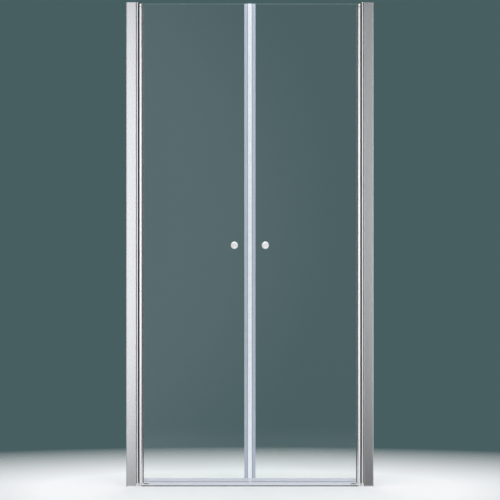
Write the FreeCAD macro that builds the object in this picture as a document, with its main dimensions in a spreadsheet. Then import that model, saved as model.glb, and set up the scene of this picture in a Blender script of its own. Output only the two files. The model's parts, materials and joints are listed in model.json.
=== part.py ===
import FreeCAD, Part
import math
import os
import Sketcher

# A two-leaf pendulum shower door for a niche, closed, in millimetres.
# +Z is up, +X is to the right seen from outside and +Y points into the shower.
# The origin is at the middle of the door's foot, on the middle plane of the glass.

SIZES = {
    # whole door
    "door_width": 995.0,
    "door_height": 1950.0,
    # wall profile, a channel screwed to the wall
    "wall_face": 39.4,
    "wall_depth": 24.0,
    "wall_web": 1.5,
    "wall_flange": 1.8,
    "wall_round": 1.2,
    "wall_bevel": 3.0,
    "wall_bevel_depth": 0.6,
    "mastic_groove": 1.5,
    "mastic_groove_depth": 0.4,
    "mastic_groove_place": 6.0,
    "wall_cap": 3.0,
    "wall_plug": 10.0,
    "wall_plug_gap": 0.3,
    "wall_hole_radius": 2.5,
    "wall_hole_inner_pitch": 550.0,
    "wall_hole_outer_pitch": 1650.0,
    # hinge post, telescoped in the channel
    "post_gap": 0.2,
    "post_back": 9.5,
    "post_wall": 1.5,
    "post_round": 1.6,
    "post_rib": 24.0,
    "post_foot": 14.0,
    "post_head": 16.0,
    "plug_gap": 0.15,
    "plug_length": 12.0,
    "cap_seam": 1.2,
    # pivot
    "pivot_offset": 55.5,
    "groove_radius": 9.6,
    "lip_reach": 9.0,
    "arm_thickness": 3.5,
    "foot_arm_radius": 7.5,
    "head_arm_radius": 5.0,
    "arm_root": 20.0,
    "pin_radius": 2.0,
    "pin_length": 13.0,
    "pin_recess": 0.3,
    "pin_chamfer": 0.5,
    "bush_radius": 3.0,
    "bush_flange_radius": 4.2,
    "bush_length": 8.0,
    "running_gap": 0.05,
    # strip between post and knuckle
    "strip_stem": 1.0,
    "strip_head": 2.2,
    "strip_neck": 1.2,
    "strip_head_depth": 1.8,
    "strip_gap": 0.2,
    "strip_bead": 8.35,
    # locking screws between channel and post
    "lock_place": 24.0,
    "lock_foot": 200.0,
    "lock_pitch": 775.0,
    "lock_count": 3.0,
    "lock_shank": 1.75,
    "lock_clearance": 0.25,
    "lock_length": 8.0,
    "lock_head_radius": 3.6,
    "lock_head": 2.0,
    "cover_radius": 5.2,
    "cover_height": 3.4,
    "cover_wall": 1.0,
    # leaf profile
    "knuckle_radius": 8.0,
    "flat_end": 4.7,
    "flat_round": 3.0,
    "mouth_half": 5.2,
    "mouth_round": 0.4,
    "mouth": 9.5,
    "slot_start": 3.6,
    "slot_half": 4.0,
    "chamber_radius": 6.5,
    "chamber_flat": 2.1,
    "leaf_foot_height": 13.5,
    "leaf_cap": 11.0,
    "leaf_cap_slot": 2.6,
    "leaf_cap_slot_start": 4.2,
    # foot under the leaf
    "foot_under": 5.0,
    "foot_plate": 4.0,
    "foot_half": 6.5,
    "foot_length": 33.4,
    "foot_round": 3.0,
    "foot_neck_radius": 6.0,
    "foot_rib_half": 2.2,
    "foot_rib_start": 19.0,
    "foot_rib_end": 32.5,
    "foot_rib_height": 17.0,
    "rest_pad": 0.8,
    "rest_pad_half": 2.0,
    "rest_pad_inset": 0.5,
    # glass and its gasket
    "glass_thickness": 5.0,
    "glass_foot": 19.0,
    "glass_head": 4.0,
    "glass_corner": 3.0,
    "glass_arris": 0.5,
    "gasket_bottom": 0.8,
    "gasket_head": 4.0,
    "gasket_lip_half": 4.8,
    "gasket_lip_end": 14.0,
    "gasket_lip_edge": 0.5,
    # magnetic seal on the free edge
    "clip_wall": 1.2,
    "clip_reach": 14.1,
    "bulb_gap": 0.3,
    "bulb_width": 6.9,
    "bulb_half": 6.0,
    "bulb_round": 1.5,
    "bulb_wall": 1.0,
    "magnet_gap": 0.2,
    "magnet_inset": 4.0,
    # seal under the leaf
    "bottom_clip_height": 15.2,
    "bottom_seal_start": 14.5,
    "bottom_lip_start": 34.4,
    "bottom_seal_gap": 0.4,
    "skirt_end": 4.8,
    "skirt_taper": 1.3,
    "skirt_tip": 0.5,
    "skirt_foot_gap": 0.6,
    "deflector_reach": 7.4,
    "deflector_drop": 11.0,
    "deflector_wall": 1.0,
    "weld": 0.6,
    "vertical_seal_gap": 0.5,
    # knob
    "knob_place": 62.3,
    "knob_height": 972.0,
    "knob_radius": 15.0,
    "knob_length": 25.0,
    "knob_base_radius": 9.0,
    "knob_base": 1.8,
    "knob_waist_radius": 7.2,
    "knob_waist_start": 4.8,
    "knob_waist_end": 8.6,
    "knob_head_start": 13.4,
    "knob_rim": 4.0,
    "knob_back_rim": 3.0,
    "knob_dish_radius": 9.0,
    "knob_dish": 0.4,
    "knob_bore": 10.0,
    "stud_radius": 3.0,
    "stud_gap": 0.2,
    "stud_chamfer": 0.5,
    "washer_thickness": 0.8,
    "washer_radius": 9.5,
    "glass_hole_radius": 6.0,
    "sleeve_gap": 0.1,
    # threshold on the tray
    "threshold_half": 12.0,
    "threshold_edge": 1.2,
    "threshold_height": 4.4,
    "threshold_gap": 0.9,
    # rounding of the end caps
    "cap_round": 0.8,
}


class Size:
    """A length with its present value and the text that binds it to the sheet."""

    def __init__(self, value, text):
        self.value = value
        self.text = text

    def __neg__(self):
        return Size(-self.value, f"(-{self.text})")

    def __add__(self, other):
        other = as_size(other)
        return Size(self.value + other.value, f"({self.text} + {other.text})")

    def __sub__(self, other):
        other = as_size(other)
        return Size(self.value - other.value, f"({self.text} - {other.text})")

    def __mul__(self, other):
        other = as_size(other)
        return Size(self.value * other.value, f"({self.text} * {other.text})")

    def __truediv__(self, other):
        other = as_size(other)
        return Size(self.value / other.value, f"({self.text} / {other.text})")


def as_size(number):
    """A plain number as a Size; a Size stays as it is."""
    return number if isinstance(number, Size) else Size(float(number), str(float(number)))


def side(longest, other):
    """The third side of a right triangle from its longest side and another one."""
    longest, other = as_size(longest), as_size(other)
    value = math.sqrt(longest.value**2 - other.value**2)
    return Size(value, f"sqrt({longest.text}^2 - {other.text}^2)")


doc = FreeCAD.newDocument("shower_door")
sheet = doc.addObject("Spreadsheet::Sheet", "Sizes")
for row, (alias, number) in enumerate(SIZES.items(), 1):
    sheet.set(f"A{row}", alias)
    sheet.set(f"B{row}", str(number))
    sheet.setAlias(f"B{row}", alias)
doc.recompute()

ZERO = as_size(0)
EDGE_TOLERANCE = 1e-3
made = []


def size(alias):
    """The driving dimension with this alias."""
    return Size(SIZES[alias], f"Sizes.{alias}")


def bind(thing, prop, length):
    thing.setExpression(prop, as_size(length).text)


def new_body(label, several=False):
    """An empty body; several lets it hold more than one solid."""
    body = doc.addObject("PartDesign::Body", label)
    body.Label = label
    body.AllowCompound = several
    made.append(body)
    return body


def arc(radius, turn=1):
    """Marks the edge that leaves a corner as an arc under half a circle, turning left (1) or right (-1)."""
    return (as_size(radius), turn)


def edge_shape(start, end, bend):
    """A straight edge or an arc from start to end, and which of its own ends comes first."""
    first = FreeCAD.Vector(start[0].value, start[1].value, 0)
    last = FreeCAD.Vector(end[0].value, end[1].value, 0)
    if bend is None:
        return Part.LineSegment(first, last), 1
    radius, turn = bend
    chord = last - first
    left = FreeCAD.Vector(-chord.y, chord.x, 0) / chord.Length
    height = math.sqrt(radius.value**2 - (chord.Length / 2) ** 2)
    centre = (first + last) / 2 + left * (turn * height)
    angles = [math.atan2(p.y - centre.y, p.x - centre.x) for p in (first, last)]
    circle = Part.Circle(centre, FreeCAD.Vector(0, 0, 1), radius.value)
    if turn > 0:
        return Part.ArcOfCircle(circle, angles[0], angles[1]), 1
    return Part.ArcOfCircle(circle, angles[1], angles[0]), 2


def pin_point(sketch, geometry, end, point):
    """Ties one end of an edge to its place in the sketch."""
    for kind, axis, length in (("DistanceX", -2, point[0]), ("DistanceY", -1, point[1])):
        if length.value == 0:
            sketch.addConstraint(Sketcher.Constraint("PointOnObject", geometry, end, axis))
            continue
        number = sketch.addConstraint(Sketcher.Constraint(kind, -1, 1, geometry, end, length.value))
        bind(sketch, f"Constraints[{number}]", length)


def new_sketch(body, name, plane, loops, circles=(), origin=(ZERO, ZERO, ZERO)):
    """A sketch on one of the body's own planes, moved to origin.

    A loop is a list of corners (a, b) or (a, b, arc), where the arc belongs to the edge that leaves
    the corner. A circle is (a, b, radius). Every corner, radius and centre is bound to the sheet.
    """
    sketch = body.newObject("Sketcher::SketchObject", f"{body.Label}_{name}")
    support = [feature for feature in body.Origin.OriginFeatures if feature.Role == plane][0]
    sketch.AttachmentSupport = (support, "")
    sketch.MapMode = "FlatFace"
    x, y, z = (as_size(length) for length in origin)
    local = {"XY_Plane": (x, y, z), "XZ_Plane": (x, z, -y), "YZ_Plane": (y, z, x)}[plane]
    for axis, length in zip("xyz", local):
        bind(sketch, f"AttachmentOffset.Base.{axis}", length)
    for loop in loops:
        corners = [(as_size(c[0]), as_size(c[1]), c[2] if len(c) > 2 else None) for c in loop]
        edges = []
        for corner, following in zip(corners, corners[1:] + corners[:1]):
            geometry, first_end = edge_shape(corner, following, corner[2])
            edges.append((sketch.addGeometry(geometry, False), first_end))
        for (edge, first_end), (before, before_first) in zip(edges, edges[-1:] + edges[:-1]):
            joint = Sketcher.Constraint("Coincident", before, 3 - before_first, edge, first_end)
            sketch.addConstraint(joint)
        for (edge, first_end), corner in zip(edges, corners):
            pin_point(sketch, edge, first_end, corner)
            if corner[2]:
                number = sketch.addConstraint(Sketcher.Constraint("Radius", edge, corner[2][0].value))
                bind(sketch, f"Constraints[{number}]", corner[2][0])
    for a, b, radius in circles:
        centre = (as_size(a), as_size(b))
        place = FreeCAD.Vector(centre[0].value, centre[1].value, 0)
        edge = sketch.addGeometry(Part.Circle(place, FreeCAD.Vector(0, 0, 1), radius.value), False)
        pin_point(sketch, edge, 3, centre)
        number = sketch.addConstraint(Sketcher.Constraint("Radius", edge, radius.value))
        bind(sketch, f"Constraints[{number}]", radius)
    return sketch


def pad(body, sketch, length):
    """Pads the sketch along its plane's normal: up, outwards (-Y) or to the right."""
    feature = body.newObject("PartDesign::Pad", sketch.Label + "_pad")
    feature.Profile = sketch
    bind(feature, "Length", length)
    return feature


def pocket(body, sketch):
    """Cuts the sketch right through, against its plane's normal, and makes sure that it cut something."""
    doc.recompute()
    before = body.Shape.Volume
    feature = body.newObject("PartDesign::Pocket", sketch.Label + "_pocket")
    feature.Profile = sketch
    feature.Type = "ThroughAll"
    doc.recompute()
    if body.Shape.Volume >= before:
        raise RuntimeError(sketch.Label + " cut nothing")


def turn_about_height(body, sketch):
    """Revolves the sketch about its own upright axis."""
    feature = body.newObject("PartDesign::Revolution", sketch.Label + "_turned")
    feature.Profile = sketch
    feature.ReferenceAxis = (sketch, ["V_Axis"])
    feature.Angle = 360.0
    return feature


def soften(body, kind, amount, wanted):
    """Fillets or chamfers the edges of the body for which wanted(edge) is true."""
    doc.recompute()
    base = body.Tip
    names = [f"Edge{i}" for i, edge in enumerate(base.Shape.Edges, 1) if wanted(edge)]
    feature = body.newObject(f"PartDesign::{kind}", f"{body.Label}_{kind.lower()}")
    feature.Base = (base, names)
    bind(feature, "Radius" if kind == "Fillet" else "Size", amount)
    return feature


def in_plane(axis, place):
    """A test for edges that lie in the plane across the given axis at this place."""
    low, high = {"x": ("XMin", "XMax"), "y": ("YMin", "YMax"), "z": ("ZMin", "ZMax")}[axis]

    def wanted(edge):
        box = edge.BoundBox
        off = max(abs(getattr(box, low) - place.value), abs(getattr(box, high) - place.value))
        return off < EDGE_TOLERANCE

    return wanted


def upright_at(place, half):
    """A test for the upright edges at this place, on both sides of the glass."""

    def wanted(edge):
        box = edge.BoundBox
        off = max(abs(box.XMin - place.value), abs(box.XMax - place.value))
        return max(off, abs(abs(box.Center.y) - half.value), box.YLength) < EDGE_TOLERANCE

    return wanted


def box_loop(a_low, a_high, b_low, b_high):
    return [(a_low, b_low), (a_high, b_low), (a_high, b_high), (a_low, b_high)]


# Places that several pieces share
wall_plane = -(size("door_width") / 2)
pivot_x = wall_plane + size("pivot_offset")
door_top = size("door_height")
wall_half = size("wall_depth") / 2
channel_half = wall_half - size("wall_flange")
post_half = channel_half - size("post_gap")
post_low = size("post_foot")
post_high = door_top - size("post_head")
post_back = size("post_back") - size("pivot_offset")
lip = -size("lip_reach")
groove_half = side(size("groove_radius"), size("lip_reach"))
leaf_low = size("leaf_foot_height")
profile_top = post_high - size("cap_seam")
glass_half = size("glass_thickness") / 2
glass_start = size("slot_start") + size("gasket_bottom")
glass_top = door_top - size("glass_head")
bulb_start = -(size("bulb_gap") + size("bulb_width"))
glass_end = bulb_start - size("clip_wall")
clip_half = glass_half + size("clip_wall")
seal_web = size("glass_foot") - size("clip_wall")
clip_top = seal_web + size("bottom_clip_height")
lock_u = size("lock_place") - size("pivot_offset")
knob_x = -size("knob_place")
knob_z = size("knob_height")
at_pivot = (pivot_x, ZERO)
at_knob = (knob_x, ZERO, knob_z)


def channel_outline(web):
    """The channel from its front bevel, round its open side with the given web, to its rear bevel."""
    face, bend = size("wall_face"), size("wall_round")
    bevel, edge = size("wall_bevel"), wall_half - size("wall_bevel_depth")
    return [
        (ZERO, -edge),
        (bevel, -wall_half),
        (face - bend, -wall_half, arc(bend)),
        (face, bend - wall_half),
        (face, -channel_half),
        (web, -channel_half),
        (web, channel_half),
        (face, channel_half),
        (face, wall_half - bend, arc(bend)),
        (face - bend, wall_half),
        (bevel, wall_half),
        (ZERO, edge),
    ]


def wall_profile():
    body = new_body("wall_profile_left")
    groove_low = size("mastic_groove_place") - size("mastic_groove") / 2
    groove_high = size("mastic_groove_place") + size("mastic_groove") / 2
    deep = size("mastic_groove_depth")
    outline = [
        *channel_outline(size("wall_web")),
        (ZERO, groove_high),
        (deep, groove_high),
        (deep, groove_low),
        (ZERO, groove_low),
        (ZERO, -groove_low),
        (deep, -groove_low),
        (deep, -groove_high),
        (ZERO, -groove_high),
    ]
    section = new_sketch(body, "section", "XY_Plane", [outline], origin=(wall_plane, ZERO, ZERO))
    pad(body, section, door_top - size("wall_cap"))
    middle = door_top / 2
    holes = []
    for pitch in (size("wall_hole_outer_pitch"), size("wall_hole_inner_pitch")):
        for place in (middle - pitch / 2, middle + pitch / 2):
            holes.append((ZERO, place, size("wall_hole_radius")))
    pocket(body, new_sketch(body, "wall_holes", "YZ_Plane", [], holes))
    pocket(body, lock_holes(body, size("lock_shank") + size("lock_clearance")))


def lock_holes(body, radius):
    """The sketch of the locking screws' holes through the side towards the shower."""
    places = [size("lock_foot") + size("lock_pitch") * i for i in range(int(SIZES["lock_count"]))]
    circles = [(pivot_x + lock_u, place, radius) for place in places]
    return new_sketch(body, "lock_holes", "XZ_Plane", [], circles)


def wall_profile_cap():
    body = new_body("wall_profile_cap_left")
    web, gap = size("wall_web"), size("wall_plug_gap")
    behind_post = size("post_back") - gap
    low = door_top - size("wall_cap")
    outline = channel_outline(behind_post)
    plate = new_sketch(body, "plate", "XY_Plane", [outline], origin=(wall_plane, ZERO, low))
    pad(body, plate, size("wall_cap"))
    plug = box_loop(web + gap, behind_post, gap - channel_half, channel_half - gap)
    plug_low = low - size("wall_plug")
    section = new_sketch(body, "plug", "XY_Plane", [plug], origin=(wall_plane, ZERO, plug_low))
    pad(body, section, size("wall_plug"))


def post_outline(groove):
    """The hinge post's outside, with the given corners in its concave end."""
    bend = size("post_round")
    return [
        (post_back, -post_half),
        (lip - bend, -post_half, arc(bend)),
        (lip, bend - post_half),
        *groove,
        (lip, post_half - bend, arc(bend)),
        (lip - bend, post_half),
        (post_back, post_half),
    ]


def plain_groove():
    return [(lip, -groove_half, arc(size("groove_radius"), -1)), (lip, groove_half)]


def hinge_post():
    body = new_body("hinge_post_left")
    radius, wall = size("groove_radius"), size("post_wall")
    stem = size("strip_stem") + size("strip_gap")
    head = size("strip_head") + size("strip_gap")
    neck = -(radius + size("strip_neck"))
    floor = neck - size("strip_head_depth") - size("strip_gap")
    meet = -side(radius, stem)
    slotted_groove = [
        (lip, -groove_half, arc(radius, -1)),
        (meet, -stem),
        (neck, -stem),
        (neck, -head),
        (floor, -head),
        (floor, head),
        (neck, head),
        (neck, stem),
        (meet, stem, arc(radius, -1)),
        (lip, groove_half),
    ]
    rib = -size("post_rib")
    inside = post_half - wall
    rear_chamber = box_loop(post_back + wall, rib - wall / 2, -inside, inside)
    front_chamber = box_loop(rib + wall / 2, floor - wall, -inside, inside)
    loops = [post_outline(slotted_groove), rear_chamber, front_chamber]
    section = new_sketch(body, "section", "XY_Plane", loops, origin=(*at_pivot, post_low))
    pad(body, section, profile_top - post_low)
    pocket(body, lock_holes(body, size("lock_shank")))


def post_cap(label, block_low, block_high, arm_low, reach, plug_low, round_at):
    """An end cap of the hinge post: block, plug and the arm that holds the pivot pin."""
    body = new_body(label)
    block = new_sketch(
        body, "block", "XY_Plane", [post_outline(plain_groove())], origin=(*at_pivot, block_low)
    )
    pad(body, block, block_high - block_low)
    arm = [
        (-size("arm_root"), -reach),
        (ZERO, -reach, arc(reach)),
        (reach, ZERO, arc(reach)),
        (ZERO, reach),
        (-size("arm_root"), reach),
    ]
    hole = [(ZERO, ZERO, size("pin_radius"))]
    arm_sketch = new_sketch(body, "arm", "XY_Plane", [arm], hole, origin=(*at_pivot, arm_low))
    pad(body, arm_sketch, size("arm_thickness"))
    inside = post_half - size("post_wall") - size("plug_gap")
    start = post_back + size("post_wall") + size("plug_gap")
    end = -(size("post_rib") + size("post_wall") / 2 + size("plug_gap"))
    plug = box_loop(start, end, -inside, inside)
    plug_sketch = new_sketch(body, "plug", "XY_Plane", [plug], origin=(*at_pivot, plug_low))
    pad(body, plug_sketch, size("plug_length"))
    if round_at:
        outer_face = in_plane("z", round_at)
        soften(body, "Chamfer", size("cap_round"), lambda edge: outer_face(edge) and not edge.isClosed())


def post_caps():
    arm_low = door_top - size("arm_thickness")
    plug_low = post_high - size("plug_length")
    head_arm, foot_arm = size("head_arm_radius"), size("foot_arm_radius")
    post_cap("post_top_cap_left", post_high, door_top, arm_low, head_arm, plug_low, door_top)
    post_cap("post_bottom_cap_left", ZERO, post_low, ZERO, foot_arm, post_low, None)


def at_both_ends(loop):
    """A loop of (radius, height above the foot) and the same loop hung from the top."""
    return [loop, [(a, door_top - b) for a, b in reversed(loop)]]


def pivot_pins():
    body = new_body("pivot_pins_left", several=True)
    radius, low, high = size("pin_radius"), size("pin_recess"), size("pin_length")
    cut = size("pin_chamfer")
    pin = [(ZERO, low), (radius, low), (radius, high - cut), (radius - cut, high), (ZERO, high)]
    section = new_sketch(body, "section", "XZ_Plane", at_both_ends(pin), origin=(*at_pivot, ZERO))
    turn_about_height(body, section)


def pivot_bushes():
    body = new_body("pivot_bushes_left", several=True)
    bore = size("pin_radius") + size("running_gap")
    under = size("arm_thickness") + size("running_gap")
    foot = size("foot_under")
    bush = [
        (bore, under),
        (size("bush_flange_radius"), under),
        (size("bush_flange_radius"), foot),
        (size("bush_radius"), foot),
        (size("bush_radius"), foot + size("bush_length")),
        (bore, foot + size("bush_length")),
    ]
    section = new_sketch(body, "section", "XZ_Plane", at_both_ends(bush), origin=(*at_pivot, ZERO))
    turn_about_height(body, section)


def pivot_gap_seal():
    body = new_body("pivot_gap_seal_left")
    stem, head = size("strip_stem"), size("strip_head")
    neck = -(size("groove_radius") + size("strip_neck") + size("strip_gap"))
    floor = neck - size("strip_head_depth") + size("strip_gap")
    bead = -size("strip_bead")
    bend = stem / 2
    outline = [
        (floor, -head),
        (neck, -head),
        (neck, -stem),
        (bead - bend, -stem, arc(bend)),
        (bead, bend - stem),
        (bead, stem - bend, arc(bend)),
        (bead - bend, stem),
        (neck, stem),
        (neck, head),
        (floor, head),
    ]
    section = new_sketch(body, "section", "XY_Plane", [outline], origin=(*at_pivot, post_low))
    pad(body, section, profile_top - post_low)


def along_height(body, feature):
    """Repeats a feature at the locking screws' heights."""
    pattern = body.newObject("PartDesign::LinearPattern", body.Label + "_row")
    pattern.Originals = [feature]
    axis = [part for part in body.Origin.OriginFeatures if part.Role == "Z_Axis"][0]
    pattern.Direction = (axis, [""])
    bind(pattern, "Length", size("lock_pitch") * (size("lock_count") - 1))
    bind(pattern, "Occurrences", size("lock_count"))
    body.Tip = pattern


def locking_screws():
    body = new_body("locking_screws_left", several=True)
    shank, head = size("lock_shank"), size("lock_head_radius")
    top = wall_half + size("lock_head")
    tip = wall_half - size("lock_length")
    cut = size("lock_head") / 2
    outline = [
        (ZERO, tip),
        (shank / 2, tip),
        (shank, tip + shank / 2),
        (shank, wall_half),
        (head, wall_half),
        (head, top - cut),
        (head - cut, top),
        (shank, top),
        (shank / 2, top - cut),
        (ZERO, top - cut),
    ]
    place = (pivot_x + lock_u, ZERO, size("lock_foot"))
    section = new_sketch(body, "section", "XY_Plane", [outline], origin=place)
    along_height(body, turn_about_height(body, section))


def screw_covers():
    body = new_body("screw_covers_left", several=True)
    radius, wall = size("cover_radius"), size("cover_wall")
    top = wall_half + size("cover_height")
    outline = [
        (radius - wall, wall_half),
        (radius, wall_half),
        (radius, top - wall),
        (radius - wall, top),
        (ZERO, top),
        (ZERO, top - wall),
        (radius - wall, top - wall),
    ]
    place = (pivot_x + lock_u, ZERO, size("lock_foot"))
    section = new_sketch(body, "section", "XY_Plane", [outline], origin=place)
    along_height(body, turn_about_height(body, section))


def knuckle_outline(slot_half, slot_start):
    """Round back, flat sides that slope in to the mouth, and the slot for the glass."""
    radius, flat, mouth = size("knuckle_radius"), size("flat_end"), size("mouth")
    mouth_half = size("mouth_half")
    return [
        (mouth, slot_half),
        (mouth, mouth_half),
        (flat, radius),
        (ZERO, radius, arc(radius)),
        (-radius, ZERO, arc(radius)),
        (ZERO, -radius),
        (flat, -radius),
        (mouth, -mouth_half),
        (mouth, -slot_half),
        (slot_start, -slot_half),
        (slot_start, slot_half),
    ]


def round_sides(body):
    """Rounds the bend and the lip of the sides of a piece with the knuckle's outline."""
    for name, reach, half in (
        ("flat_round", size("flat_end"), size("knuckle_radius")),
        ("mouth_round", size("mouth"), size("mouth_half")),
    ):
        soften(body, "Fillet", size(name), upright_at(pivot_x + reach, half))


def chamber_outline(gap):
    """The hollow in the round back, drawn in by a gap."""
    radius, flat = size("chamber_radius") - gap, size("chamber_flat") - gap
    half = side(radius, flat)
    return [(flat, half, arc(radius)), (-radius, ZERO, arc(radius)), (flat, -half)]


def leaf_profile():
    body = new_body("leaf_profile_left")
    loops = [knuckle_outline(size("slot_half"), size("slot_start")), chamber_outline(ZERO)]
    section = new_sketch(body, "section", "XY_Plane", loops, origin=(*at_pivot, leaf_low))
    pad(body, section, profile_top - leaf_low)
    round_sides(body)


def leaf_top_cap():
    body = new_body("leaf_top_cap_left")
    outline = knuckle_outline(size("leaf_cap_slot"), size("leaf_cap_slot_start"))
    bore = [(ZERO, ZERO, size("bush_radius"))]
    block = new_sketch(body, "block", "XY_Plane", [outline], bore, origin=(*at_pivot, post_high))
    pad(body, block, size("leaf_cap"))
    round_sides(body)
    plug_low = post_high - size("plug_length")
    plug = chamber_outline(size("plug_gap"))
    plug_sketch = new_sketch(body, "plug", "XY_Plane", [plug], origin=(*at_pivot, plug_low))
    pad(body, plug_sketch, size("plug_length"))


def leaf_foot():
    body = new_body("leaf_foot_left")
    radius, half = size("knuckle_radius"), size("foot_half")
    reach, bend = size("foot_length"), size("foot_round")
    meet = side(radius, half)
    plate = [
        (meet, half, arc(radius)),
        (-radius, ZERO, arc(radius)),
        (meet, -half),
        (reach - bend, -half, arc(bend)),
        (reach, bend - half),
        (reach, half - bend, arc(bend)),
        (reach - bend, half),
    ]
    bore = [(ZERO, ZERO, size("bush_radius"))]
    under = size("foot_under")
    plate_top = under + size("foot_plate")
    plate_sketch = new_sketch(body, "plate", "XY_Plane", [plate], bore, origin=(*at_pivot, under))
    pad(body, plate_sketch, size("foot_plate"))
    neck_radius, rib = size("foot_neck_radius"), size("foot_rib_half")
    neck_meet, rib_end = side(neck_radius, rib), size("foot_rib_end")
    neck = [
        (neck_meet, rib, arc(neck_radius)),
        (-neck_radius, ZERO, arc(neck_radius)),
        (neck_meet, -rib),
        (rib_end, -rib),
        (rib_end, rib),
    ]
    neck_sketch = new_sketch(body, "neck", "XY_Plane", [neck], bore, origin=(*at_pivot, plate_top))
    pad(body, neck_sketch, leaf_low - plate_top)
    rest = box_loop(size("foot_rib_start"), rib_end, -rib, rib)
    rest_sketch = new_sketch(body, "rest", "XY_Plane", [rest], origin=(*at_pivot, leaf_low))
    pad(body, rest_sketch, size("foot_rib_height") - leaf_low)


def glass_rest_pad():
    body = new_body("glass_rest_pad_left")
    inset, half = size("rest_pad_inset"), size("rest_pad_half")
    outline = box_loop(size("foot_rib_start") + inset, size("foot_rib_end") - inset, -half, half)
    place = (*at_pivot, size("foot_rib_height"))
    pad(body, new_sketch(body, "section", "XY_Plane", [outline], origin=place), size("rest_pad"))


def glazing_gasket():
    body = new_body("glazing_gasket_left")
    outer, mouth, end = size("slot_half"), size("mouth"), size("gasket_lip_end")
    lip_half, edge = size("gasket_lip_half"), glass_half + size("gasket_lip_edge")
    upper = [(glass_start, glass_half), (end, glass_half), (end, edge), (mouth, lip_half), (mouth, outer)]
    lower = [(a, -b) for a, b in reversed(upper)]
    outline = [*upper, (size("slot_start"), outer), (size("slot_start"), -outer), *lower]
    section = new_sketch(body, "section", "XY_Plane", [outline], origin=(*at_pivot, leaf_low))
    pad(body, section, post_high - size("gasket_head") - leaf_low)


def glass_panel():
    body = new_body("glass_panel_left")
    left, right = pivot_x + glass_start, glass_end
    low, high, bend = size("glass_foot"), glass_top, size("glass_corner")
    outline = [
        (left + bend, low),
        (right - bend, low, arc(bend)),
        (right, low + bend),
        (right, high - bend, arc(bend)),
        (right - bend, high),
        (left + bend, high, arc(bend)),
        (left, high - bend),
        (left, low + bend, arc(bend)),
    ]
    hole = [(knob_x, knob_z, size("glass_hole_radius"))]
    pane = new_sketch(body, "pane", "XZ_Plane", [outline], hole, origin=(ZERO, glass_half, ZERO))
    pad(body, pane, size("glass_thickness"))
    faces = [in_plane("y", glass_half), in_plane("y", -glass_half)]
    soften(body, "Chamfer", size("glass_arris"), lambda edge: any(face(edge) for face in faces))


def magnet_seal():
    body = new_body("magnet_seal_left")
    right, half, bend = -size("bulb_gap"), size("bulb_half"), size("bulb_round")
    reach = glass_end - size("clip_reach")
    outline = [
        (reach, -clip_half),
        (bulb_start, -clip_half),
        (bulb_start, bend - half, arc(bend)),
        (bulb_start + bend, -half),
        (right - bend, -half, arc(bend)),
        (right, bend - half),
        (right, half - bend, arc(bend)),
        (right - bend, half),
        (bulb_start + bend, half, arc(bend)),
        (bulb_start, half - bend),
        (bulb_start, clip_half),
        (reach, clip_half),
        (reach, glass_half),
        (glass_end, glass_half),
        (glass_end, -glass_half),
        (reach, -glass_half),
    ]
    low = clip_top + size("vertical_seal_gap")
    loops = [outline, bulb_hollow(ZERO)]
    pad(body, new_sketch(body, "section", "XY_Plane", loops, origin=(ZERO, ZERO, low)), glass_top - low)


def bulb_hollow(gap):
    """The room for the magnet in the bulb, drawn in by a gap."""
    wall = size("bulb_wall") + gap
    half = size("bulb_half") - wall
    return box_loop(bulb_start + wall, -size("bulb_gap") - wall, -half, half)


def magnet_strip():
    body = new_body("magnet_strip_left")
    low = clip_top + size("vertical_seal_gap") + size("magnet_inset")
    outline = bulb_hollow(size("magnet_gap"))
    section = new_sketch(body, "section", "XY_Plane", [outline], origin=(ZERO, ZERO, low))
    pad(body, section, glass_top - size("magnet_inset") - low)


def skirt_outline(low, high):
    """The water skirt in front of the pane, which thins towards its lower edge."""
    tip, taper = size("skirt_tip"), size("skirt_taper")
    return [
        (-clip_half, high),
        (-clip_half, low + taper),
        (tip - clip_half, low),
        (-glass_half - tip, low),
        (-glass_half, low + taper),
        (-glass_half, high),
    ]


def bottom_seal():
    """A clip under the pane, with a skirt that is short over the foot, and a deflector behind it."""
    body = new_body("bottom_seal_left")
    web_top = size("glass_foot")
    end = -size("bottom_seal_gap")
    clip = [
        (-clip_half, seal_web),
        (clip_half, seal_web),
        (clip_half, clip_top),
        (glass_half, clip_top),
        (glass_half, web_top),
        (-glass_half, web_top),
        (-glass_half, clip_top),
        (-clip_half, clip_top),
    ]
    clip_start = pivot_x + size("bottom_seal_start")
    clip_sketch = new_sketch(body, "clip", "YZ_Plane", [clip], origin=(clip_start, ZERO, ZERO))
    pad(body, clip_sketch, end - clip_start)
    weld = seal_web + size("weld")
    lip_start = pivot_x + size("bottom_lip_start")
    above_foot = size("foot_under") + size("foot_plate") + size("skirt_foot_gap")
    short = new_sketch(
        body, "skirt", "YZ_Plane", [skirt_outline(above_foot, weld)], origin=(clip_start, ZERO, ZERO)
    )
    pad(body, short, lip_start - clip_start)
    reach, drop, wall = size("deflector_reach"), size("deflector_drop"), size("deflector_wall")
    deflector = [
        (clip_half - wall, weld),
        (clip_half - wall, seal_web),
        (clip_half - wall + reach, seal_web - drop),
        (clip_half + reach, seal_web - drop + wall / 2),
        (clip_half, seal_web + wall / 2),
        (clip_half, weld),
    ]
    loops = [skirt_outline(size("skirt_end"), weld), deflector]
    lips = new_sketch(body, "lips", "YZ_Plane", loops, origin=(lip_start, ZERO, ZERO))
    pad(body, lips, end - lip_start)


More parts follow.
